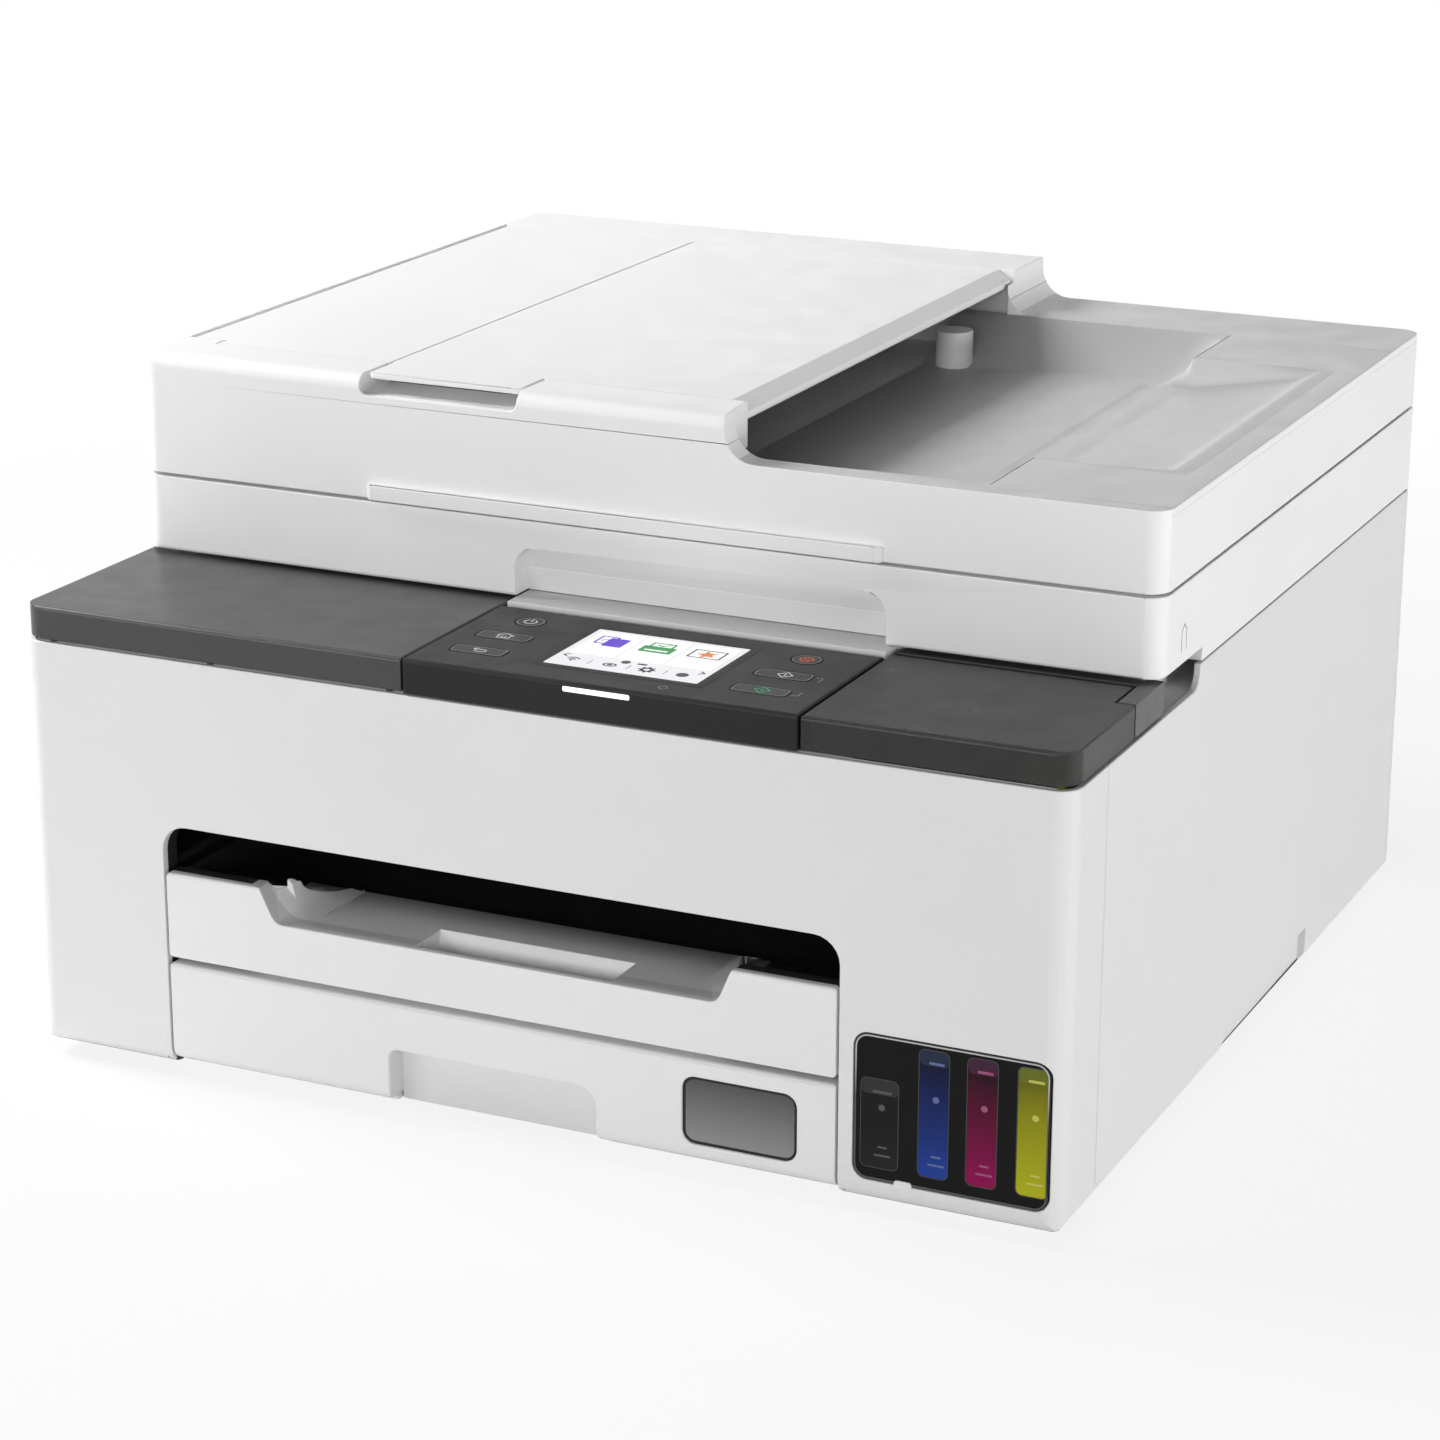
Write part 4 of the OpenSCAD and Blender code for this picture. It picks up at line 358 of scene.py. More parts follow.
def soften(node, width, work, paints):
    """A casing part with the small rounded edges of a moulding, standing for its plain solid.

    work cuts grooves or paints faces on the merged copy, and paints are the finishes that it may use."""
    bm = bmesh.new()
    bm.from_mesh(frame["nodes"][node].data)
    bmesh.ops.remove_doubles(bm, verts=bm.verts, dist=WELD * MM)
    bmesh.ops.dissolve_limit(bm, angle_limit=math.radians(FLAT_WITHIN), verts=bm.verts, edges=bm.edges)
    for face in bm.faces:
        face.material_index = 0
    seam = bm.faces.layers.int.new("seam")
    if work:
        work(bm)
    share = bm.edges.layers.float.new("bevel_weight_edge")
    for e in bm.edges:
        round_it = len(e.link_faces) == 2 and e.calc_face_angle(0) > math.radians(ROUND_FROM)
        e[share] = float(round_it and not any(f[seam] for f in e.link_faces))
    mesh = bpy.data.meshes.new(node + "_moulding")
    bm.to_mesh(mesh)
    bm.free()
    smooth_all(mesh)
    piece = add_piece(node + "_moulding", mesh, HOME_BODY[node], [NODE_FINISH[node], *paints])
    edge = piece.modifiers.new("rounded_edges", "BEVEL")
    edge.width = width * MM
    edge.segments = 2
    edge.limit_method = "WEIGHT"
    edge.use_clamp_overlap = False
    edge.harden_normals = True
    flat = piece.modifiers.new("flat_faces", "WEIGHTED_NORMAL")
    flat.keep_sharp = False
    flat.weight = 50
    keep_inside(piece, node)
    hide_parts(node)


def keep_inside(piece, node):
    """Settles the rounded edges and brings each corner that passes the solid's box back to it."""
    ready = piece.evaluated_get(bpy.context.evaluated_depsgraph_get())
    mesh = bpy.data.meshes.new_from_object(ready)
    piece.modifiers.clear()
    piece.data = mesh
    low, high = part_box(node)
    for v in mesh.vertices:
        v.co = [min(max(v.co[i], low[i]), high[i]) for i in range(3)]


def slice_at(bm, axis, place):
    """Divides every face that crosses a plane, given in millimetres along an axis."""
    normal = Vector([float(i == axis) for i in range(3)])
    bmesh.ops.bisect_plane(bm, geom=bm.verts[:] + bm.edges[:] + bm.faces[:], dist=SLICE_WELD * MM,
                           plane_co=normal * place * MM, plane_no=normal)


def paint_where(bm, paint, wanted):
    """Gives a finish to each face that wanted picks by its centre in millimetres and its normal."""
    for face in bm.faces:
        if wanted(face.calc_center_median() / MM, face.normal):
            face.material_index = paint


def groove(bm, axis, place, depth, width, wanted):
    """A narrow seam across the faces that wanted picks."""
    slice_at(bm, axis, place - width / 2)
    slice_at(bm, axis, place + width / 2)
    strip = [f for f in bm.faces if abs(f.calc_center_median()[axis] / MM - place) < width / 2
             and wanted(f.calc_center_median() / MM, f.normal)]
    if not strip:
        return
    inward = -sum((f.normal * f.calc_area() for f in strip), Vector()).normalized()
    grown = bmesh.ops.extrude_face_region(bm, geom=strip)["geom"]
    sunk = [g for g in grown if isinstance(g, bmesh.types.BMVert)]
    bmesh.ops.translate(bm, vec=inward * depth * MM, verts=sunk)
    left_over = [f for f in strip if f.is_valid]
    bmesh.ops.delete(bm, geom=left_over, context="FACES")
    seam = bm.faces.layers.int["seam"]
    for v in sunk:
        for f in v.link_faces:
            f[seam] = 1


def finish_shape(bm, name, body, paints, stand=None, bevel=0.0, sharp=35):
    """Turns a bmesh in millimetres into a piece. stand is a matrix that sets it in place first."""
    if stand is not None:
        bmesh.ops.transform(bm, matrix=stand, verts=bm.verts)
    if bevel:
        edges = [e for e in bm.edges
                 if len(e.link_faces) == 2 and e.calc_face_angle(0) > math.radians(sharp)]
        bmesh.ops.bevel(bm, geom=edges, offset=bevel, segments=2, profile=0.5, affect="EDGES", material=-1,
                        clamp_overlap=True)
    bmesh.ops.scale(bm, vec=(MM, MM, MM), verts=bm.verts)
    mesh = bpy.data.meshes.new(name)
    bm.to_mesh(mesh)
    bm.free()
    smooth_all(mesh)
    mesh.set_sharp_from_angle(angle=math.radians(sharp))
    return add_piece(name, mesh, body, paints)


def pad(bm, x, y, z, w, l, corner=0.0, rise=0.1, paint=0, hole=0.0, turn=0.0, steps=5):
    """A rounded oblong plate lying flat with its base at z; with a hole it is a rim of that width."""
    made = bmesh.ops.create_grid(bm, x_segments=1, y_segments=1, size=0.5)["verts"]
    bmesh.ops.scale(bm, vec=(w, l, 1), verts=made)
    if corner:
        made = bmesh.ops.bevel(bm, geom=made, offset=corner, segments=steps, profile=0.5, affect="VERTICES",
                               material=-1)["verts"]
    return raise_faces(bm, rim_or_plate(bm, made, hole), x, y, z, rise, paint, turn)


def rim_or_plate(bm, corners, hole):
    """The flat faces between the corners, or only a rim of them where there is a hole."""
    faces = list({f for v in corners if v.is_valid for f in v.link_faces})
    if not hole:
        return faces
    rim = bmesh.ops.inset_region(bm, faces=faces, thickness=hole, use_boundary=True,
                                 use_even_offset=True)["faces"]
    bmesh.ops.delete(bm, geom=faces, context="FACES")
    return rim


def raise_faces(bm, faces, x, y, z, rise, paint, turn=0.0):
    """Turns flat faces into a closed plate and sets it in place."""
    every = {v for f in faces for v in f.verts}
    grown = bmesh.ops.extrude_face_region(bm, geom=faces, use_keep_orig=True)["geom"]
    top = [g for g in grown if isinstance(g, bmesh.types.BMVert)]
    bmesh.ops.translate(bm, vec=(0, 0, rise), verts=top)
    every = list(every | set(top))
    sides = list({f for v in every for f in v.link_faces})
    for f in sides:
        f.material_index = paint
    if turn:
        bmesh.ops.rotate(bm, cent=(0, 0, 0), matrix=Matrix.Rotation(math.radians(turn), 3, "Z"), verts=every)
    bmesh.ops.translate(bm, vec=(x, y, z), verts=every)
    bmesh.ops.recalc_face_normals(bm, faces=sides)
    return every


def dot(bm, x, y, z, r, rise=0.1, sides=24, turn=0.0, paint=0, hole=0.0, squeeze=1.0):
    """A round or many-sided plate, or a ring where it has a hole."""
    made = bmesh.ops.create_circle(bm, cap_ends=True, segments=sides, radius=r)["verts"]
    bmesh.ops.rotate(bm, cent=(0, 0, 0), matrix=Matrix.Rotation(math.radians(turn), 3, "Z"), verts=made)
    bmesh.ops.scale(bm, vec=(1, squeeze, 1), verts=made)
    return raise_faces(bm, rim_or_plate(bm, made, hole), x, y, z, rise, paint)


def stroke(bm, a, b, z, width, rise=0.1, paint=0):
    """A thin straight bar from a to b."""
    run = Vector((b[0] - a[0], b[1] - a[1]))
    pad(bm, (a[0] + b[0]) / 2, (a[1] + b[1]) / 2, z, run.length + width * 0.6, width, 0, rise, paint,
        turn=math.degrees(math.atan2(run.y, run.x)))


def arc_stroke(bm, x, y, z, r, start, end, width, rise=0.1, paint=0, steps=10):
    """A thin curved bar from one angle to another, in degrees."""
    for i in range(steps):
        a, b = (math.radians(start + (end - start) * k / steps) for k in (i, i + 1))
        ends = [(x + r * math.cos(t), y + r * math.sin(t)) for t in (a, b)]
        stroke(bm, *ends, z, width, rise, paint)


def star(bm, x, y, z, r, rise=0.1, paint=0):
    """A five-pointed plate."""
    made = bmesh.ops.create_circle(bm, cap_ends=True, segments=10, radius=r)["verts"]
    for inner in made[1::2]:
        inner.co *= 0.45
    bmesh.ops.rotate(bm, cent=(0, 0, 0), matrix=Matrix.Rotation(math.radians(90), 3, "Z"), verts=made)
    return raise_faces(bm, rim_or_plate(bm, made, 0), x, y, z, rise, paint)


def node_mm(node):
    """Low and high corner of a node's box in millimetres."""
    low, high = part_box(node)
    return Vector(low) / MM, Vector(high) / MM


# ---------------------------------------------------------------- casing

BODY_LOW, BODY_HIGH = Vector(cad_box[0]) / MM, Vector(cad_box[1]) / MM
WALL = 2.5
SIDE_BAND = 6
BOTTOM_FLOOR = 7

# depths behind the front face
BACK_OF_REVEAL = 3.0
TRAY_LIP, TRAY_EDGE, TRAY_FLOOR = 3, 8, 52
CHUTE_SHADE_START, CHUTE_SHADE_END = 26, 52
GRIP_EDGE = 1.5
COVER_SEAMS = (83, 331)
RIM_SEAM_START = 80
END_SEAMS = (86, 332)
RECESS_DEPTHS = (78, 110)

# places across the width
SCOOP_LEFT, SCOOP_RIGHT = 32, 40
GRIP_HALF = 80
SHELF_LEFT, SHELF_RIGHT = 8, 4
END_SEAM_X = (30, 60)
RECESS_MIDDLE, RECESS_HALF = 17, 110

# heights on the lid and the scanner
RIM_RISE = 27.0
RIM_SEAM_DROP = 2.6
END_SEAM_DROP = 9.5
RECESS_SEAM_DROP = 17.2


def from_front(depth):
    """Position of a place that lies a depth behind the front face."""
    return BODY_LOW.y + depth


def faces_right(face, normal):
    return normal.x > 0.6 and face.x > BODY_HIGH.x - SIDE_BAND


def cut_front(bm):
    """Painted shade: the reveal behind the rim of the paper opening and the inner faces are painted black.
    """
    slice_at(bm, 1, from_front(BACK_OF_REVEAL))
    paint_where(bm, 1, lambda c, n: c.y > from_front(BACK_OF_REVEAL) and abs(c.x) < BODY_HIGH.x - WALL)


# painted shade: the tray floor darkens from its front edge towards the rear, under the body
CHUTE_PAINTED_SHADE = graded("chute_painted_shade", "Y", 0.94, 0.12, from_front(CHUTE_SHADE_START) * MM, from_front(CHUTE_SHADE_END) * MM,
               0.5, 0.3)


def cut_output_tray(bm):
    """Light front edge and scoop; behind the edge the floor takes painted shade that darkens towards the
    rear, and the rear of the tray and its sides are painted black as shade.
    """
    low, high = node_mm("output_tray")
    left, right = low.x + SCOOP_LEFT, high.x - SCOOP_RIGHT
    for depth in (TRAY_LIP, TRAY_EDGE, TRAY_FLOOR):
        slice_at(bm, 1, from_front(depth))
    for x in (left, right):
        slice_at(bm, 0, x)
    # painted shade: the floor behind the front edge grades darker towards the rear
    paint_where(bm, 1, lambda c, n: c.y > from_front(TRAY_EDGE))
    # painted shade: the tray behind its floor's end, and beside the scoop behind the lip, is painted black
    paint_where(bm, 2, lambda c, n: c.y > from_front(TRAY_FLOOR)
                or (c.y > from_front(TRAY_LIP) and not left < c.x < right))


def cut_cassette_front(bm):
    """Painted shade in the finger grip under the cassette's front."""
    slice_at(bm, 1, from_front(GRIP_EDGE))
    # painted shade: the grip's inner faces are painted a darker grey
    paint_where(bm, 1, lambda c, n: c.y > from_front(GRIP_EDGE) and abs(c.x) < GRIP_HALF and n.z < 0.5)


def cut_side(bm):
    """Painted shade: the inside of a side cover is painted black."""
    paint_where(bm, 1, lambda c, n: n.x * c.x < 0 and abs(n.x) > 0.3)


def cut_bottom_case(bm):
    """Painted shade: the inside of the bottom case, and its floor, are painted black."""
    inside = BODY_LOW.z + BOTTOM_FLOOR
    paint_where(bm, 1, lambda c, n: c.z > inside or n.z > 0.5)


def cut_document_cover(bm):
    """Seams in the right side and at both ends of the feeder, and painted shade on the top of the rim round
    the pocket.
    """
    low, high = node_mm("document_cover")
    rim_z = low.z + RIM_RISE
    left, right = END_SEAM_X
    front, rear = (from_front(depth) for depth in END_SEAMS)
    for depth in COVER_SEAMS:
        groove(bm, 1, from_front(depth), 0.35, 0.3, faces_right)
    groove(bm, 2, rim_z - RIM_SEAM_DROP, 0.3, 0.3,
           lambda c, n: faces_right(c, n) and from_front(RIM_SEAM_START) < c.y)
    groove(bm, 2, high.z - END_SEAM_DROP, 0.4, 0.35,
           lambda c, n: n.x > 0.1 and left < c.x < right and (c.y < front or c.y > rear))
    # painted shade: the rim's upward faces are painted a darker grey
    paint_where(bm, 1, lambda c, n: n.z > 0.9 and abs(c.z - rim_z) < 1 and c.x > left)


def cut_scanner(bm):
    """Seam round the finger recess in the front."""
    high = node_mm("scanner_case")[1]
    front, rear = (from_front(depth) for depth in RECESS_DEPTHS)
    groove(bm, 2, high.z - RECESS_SEAM_DROP, 0.3, 0.3,
           lambda c, n: n.y < -0.6 and abs(c.x - RECESS_MIDDLE) < RECESS_HALF and front < c.y < rear)


def cut_upper_case(bm):
    """Painted shade: the shelf behind the operation panel is painted a darker grey."""
    low, high = node_mm("operation_panel")
    # painted shade: upward faces within the panel's width are painted darker grey
    paint_where(bm, 1, lambda c, n: n.z > 0.5 and low.x - SHELF_LEFT < c.x < high.x + SHELF_RIGHT)


def paint_caps(bm):
    """Each tank's cap has the colour of its ink."""
    low, high = node_mm("tank_caps")
    step = (high.x - low.x) / len(TANK_WINDOWS)
    for i in range(1, len(TANK_WINDOWS)):
        paint_where(bm, i, lambda c, n, i=i: c.x > low.x + step * i)


CASINGS = {
    "front_cover": (0.5, cut_front, (DARK_AND_PAINTED_SHADE,)),
    "left_side_cover": (0.5, cut_side, (DARK_AND_PAINTED_SHADE,)),
    "right_side_cover": (0.5, cut_side, (DARK_AND_PAINTED_SHADE,)),
    "rear_cover": (0.4, None, ()),
    "upper_case": (0.3, cut_upper_case, (SHELF_PAINTED_SHADE,)),
    "left_top_cover": (0.35, None, ()),
    "ink_tank_cover": (0.35, None, ()),
    "operation_panel": (0.3, None, ()),
    "scanner_case": (0.45, cut_scanner, ()),
    "document_cover": (0.45, cut_document_cover, (LID_RIM_PAINTED_SHADE,)),
    "feeder_cover": (0.15, None, ()),
    "document_tray": (0.3, None, ()),
    "output_tray": (0.5, cut_output_tray, (CHUTE_PAINTED_SHADE, DARK_AND_PAINTED_SHADE)),
    "cassette_front": (0.55, cut_cassette_front, (GRIP_PAINTED_SHADE,)),
    "band_trim": (0.2, None, ()),
    "transport_cover": (0.4, None, ()),
    "bottom_case": (0.3, cut_bottom_case, (DARK_AND_PAINTED_SHADE,)),
    "tank_caps": (0.3, paint_caps, (CAP_BLUE, CAP_RED, CAP_OLIVE)),
}


def dress_nodes():
    for node, piece in frame["nodes"].items():
        piece.data.materials.clear()
        piece.data.materials.append(NODE_FINISH[node])
    for node, (width, work, paints) in CASINGS.items():
        soften(node, width, work, paints)


# ---------------------------------------------------------------- sheet pocket

FLOOR_RISE = 12.9
FLOOR_SLOPE, SHELF_SLOPE = 0.0509, 0.163
SIDE_BEND, POCKET_FRONT_BEND, SHELF_FRONT_BEND, SHELF_BACK_BEND = 12.0, 7.0, 9.0, 6.0
LINING = 0.25

# depths behind the front face
POCKET_FRONT, POCKET_BANK, POCKET_BACK = 87, 297, 330.6
SHELF_FRONT, SHELF_BACK = 126, 289.4
LINING_FRONT, LINING_BACK = 85.2, 333

# distances from the cover's right side, and from the feeder's hump
POCKET_WALL, FOLD, SHELF_WALL, LINING_RIGHT = 62.6, 62, 11.4, 9.5
LINING_LEFT = 19.5


def wall(run, radius, steep):
    """Height of a wall with a round fillet at its foot, at a distance run in front of it."""
    if run <= 0:
        return radius - run * steep
    inside = max(0.0, radius - run)
    return radius - math.sqrt(radius * radius - inside * inside)


def soft_least(one, two, ease):
    """The lesser of two heights, eased where they meet."""
    return min(one, two) - ease * math.log(1 + math.exp(-abs(one - two) / ease))


def sheet_pocket():
    """Smooth lining of the pocket that catches the sheets, with a shallow shelf to its right, in a finish of
    painted shade that darkens towards the feeder's hump.
    """
    low, high = node_mm("document_cover")
    hump_x = node_mm("document_tray")[1].x + 1.5
    rim = low.z + RIM_RISE
    wall_x, shelf_x = high.x - POCKET_WALL, high.x - SHELF_WALL
    pocket_y0, bank_y, pocket_y1 = (from_front(d) for d in (POCKET_FRONT, POCKET_BANK, POCKET_BACK))
    shelf_y0, shelf_y1 = from_front(SHELF_FRONT), from_front(SHELF_BACK)

    def floor_at(x):
        """The lining lies just above the solid's floor, which is steeper on the shelf."""
        fold = high.x - FOLD
        return (low.z + FLOOR_RISE + max(0, min(x, fold) - hump_x) * FLOOR_SLOPE
                + max(0, x - fold) * SHELF_SLOPE)

    def pocket_height(x, y):
        floor = floor_at(x)
        right = wall(wall_x - x, SIDE_BEND, 3)
        front = wall(y - pocket_y0, POCKET_FRONT_BEND, 4)
        back = max(0.0, y - bank_y) * (rim - floor) / (pocket_y1 - bank_y) if y > bank_y else 0.0
        return floor + max(right, front * 1.6, back) + 0.35 * min(right, back)

    def shelf_height(x, y):
        floor = floor_at(x)
        right = wall(shelf_x - x, SIDE_BEND, 3)
        front = wall(y - shelf_y0, SHELF_FRONT_BEND, 4)
        back = wall(shelf_y1 - y, SHELF_BACK_BEND, 4)
        left = max(0.0, wall_x - 16 - x) * 4
        return floor + max(right * 0.8, front, back * 1.5, left)

    x0, x1 = hump_x - LINING_LEFT, high.x - LINING_RIGHT
    y0, y1 = from_front(LINING_FRONT), from_front(LINING_BACK)
    bm = bmesh.new()
    made = bmesh.ops.create_grid(bm, x_segments=110, y_segments=150, size=0.5)["verts"]
    bmesh.ops.scale(bm, vec=(x1 - x0, y1 - y0, 1), verts=made)
    bmesh.ops.translate(bm, vec=((x0 + x1) / 2, (y0 + y1) / 2, 0), verts=made)
    for v in made:
        air = soft_least(pocket_height(v.co.x, v.co.y), shelf_height(v.co.x, v.co.y), 0.5)
        v.co.z = min(soft_least(air, rim + 0.05, 0.45), rim + 0.03)
    # nothing of the lining lies on the rim outside the pocket and the shelf
    outside = [f for f in bm.faces if all(v.co.z > rim + 0.02 for v in f.verts)
               and f.calc_center_median().x >= wall_x + 1
               and not shelf_y0 - 1 < f.calc_center_median().y < shelf_y1 + 1]
    bmesh.ops.delete(bm, geom=outside, context="FACES")
    under = bmesh.ops.extrude_face_region(bm, geom=bm.faces[:], use_keep_orig=True)["geom"]
    bmesh.ops.translate(bm, vec=(0, 0, -LINING),
                        verts=[g for g in under if isinstance(g, bmesh.types.BMVert)])
    bmesh.ops.recalc_face_normals(bm, faces=bm.faces[:])
    # the lining takes the painted shade, darker towards the hump
    finish_shape(bm, "sheet_pocket", "document_unit", [POCKET_PAINTED_SHADE], sharp=60)


# ---------------------------------------------------------------- operation panel

GLASS_MARGIN = 2.6
GLASS_RISE = 0.06


PAGE_RISE = 0.05
SHEET = 0.02
HAIR = 0.01
SCREEN_PAINTS = [PAGE, TILE, VIOLET, GREEN, ORANGE, INKLINE]


def screen_picture():
    """Page, three tiles with signs and a row of small marks, in thin sheets on the screen."""
    page, tile, violet, green, orange, dark = range(len(SCREEN_PAINTS))
    low, high = node_mm("display")
    top = node_mm("operation_panel")[1].z + GLASS_RISE + 0.01
    x0, y0 = low.x + 0.4, low.y + 0.4
    w, l = high.x - low.x - 0.8, high.y - low.y - 0.8
    bm = bmesh.new()
    pad(bm, x0 + w / 2, y0 + l / 2, top, w, l, 0.5, PAGE_RISE, page)
    tile_z = top + PAGE_RISE
    mark_z = tile_z + SHEET
    over_z = mark_z + 0.03
    pitch = (w - 3.2) / 3
    row = y0 + l * 0.64
    middles = [x0 + 1.6 + pitch * (i + 0.5) for i in range(3)]
    for cx in middles:
        pad(bm, cx, row, tile_z, pitch - 1.2, l * 0.6, 0.9, SHEET, tile)
    # two overlapping sheets
    cx = middles[0]
    pad(bm, cx + 1.6, row + 2.6, mark_z, 7.0, 9.0, 0.5, SHEET, violet)
    pad(bm, cx - 2.4, row + 4.2, mark_z + 0.01, 6.4, 8.4, 0.4, SHEET, violet, 0.8)
    pad(bm, cx - 2.4, row + 4.2, mark_z, 4.8, 6.8, 0.2, 0.015, tile)
    arc_stroke(bm, cx - 2.2, row + 3.0, over_z, 1.6, 60, 180, 0.6, HAIR, violet, 5)
    # sheet going into a scanner
    cx = middles[1]
    pad(bm, cx, row + 1.4, mark_z, 11.5, 6.6, 0.8, SHEET, green)
    pad(bm, cx, row + 6.2, mark_z + 0.01, 8.4, 5.0, 0.3, SHEET, green, 0.8)
    pad(bm, cx, row + 0.4, over_z, 8.2, 1.2, 0.2, HAIR, tile)
    stroke(bm, (cx - 2.0, row + 6.6), (cx, row + 5.4), over_z, 0.7, HAIR, green)
    stroke(bm, (cx, row + 5.4), (cx + 2.4, row + 7.4), over_z, 0.7, HAIR, green)
    # star on a card
    cx = middles[2]
    pad(bm, cx, row + 3.4, mark_z, 11.6, 8.6, 0.4, SHEET, dark, 0.7)
    star(bm, cx, row + 3.2, mark_z + 0.01, 3.9, SHEET, orange)
    # small marks along the foot of the screen
    foot = y0 + l * 0.17
    waves = (x0 + 7.0, foot - 1.2, mark_z)
    arc_stroke(bm, *waves, 3.0, 45, 135, 0.7, SHEET, dark, 6)
    arc_stroke(bm, *waves, 1.5, 45, 135, 0.7, SHEET, dark, 4)
    dot(bm, *waves, 0.6, SHEET, 12, 0, dark)
    eye = (x0 + 20.5, foot - 0.6, mark_z)
    dot(bm, *eye, 2.5, SHEET, 20, 0, dark, 0.7, 0.7)
    dot(bm, *eye, 1.0, SHEET, 14, 0, dark, 0, 0.7)
    gear_x, gear_y = x0 + 33.5, foot - 0.4
    dot(bm, gear_x, gear_y, mark_z, 2.2, SHEET, 16, 0, dark, 1.1)
    for k in range(8):
        a = math.radians(45 * k)
        stroke(bm, (gear_x + 1.9 * math.cos(a), gear_y + 1.9 * math.sin(a)),
               (gear_x + 2.7 * math.cos(a), gear_y + 2.7 * math.sin(a)), mark_z, 0.9, SHEET, dark)
    dot(bm, x0 + 46.0, foot - 0.6, mark_z, 2.1, SHEET, 18, 0, dark)
    dot(bm, x0 + 24.0, foot + 4.0, mark_z, 1.6, SHEET, 16, 0, dark)
    stroke(bm, (x0 + 28.6, foot + 4.0), (x0 + 31.0, foot + 4.0), mark_z, 1.4, SHEET, dark)
    for side, x in ((1, x0 + w - 3.0), (-1, x0 + 3.0)):
        stroke(bm, (x - 0.8 * side, foot + 4.9), (x + 0.8 * side, foot + 3.6), mark_z, 0.6, SHEET, dark)
        stroke(bm, (x + 0.8 * side, foot + 3.6), (x - 0.8 * side, foot + 2.3), mark_z, 0.6, SHEET, dark)
    for x in (13.5, 27.0, 40.0):
        stroke(bm, (x0 + x, foot - 2.6), (x0 + x, foot + 1.6), mark_z, 0.25, HAIR, dark)
    finish_shape(bm, "screen_picture", "panel", SCREEN_PAINTS)


KEY_PLATE = (18.2, 6.9, 1.6)
PLATE_RISE = 0.03
LINE_RISE = 0.04
LINE = 0.42
OCTAGON_TURN = 22.5


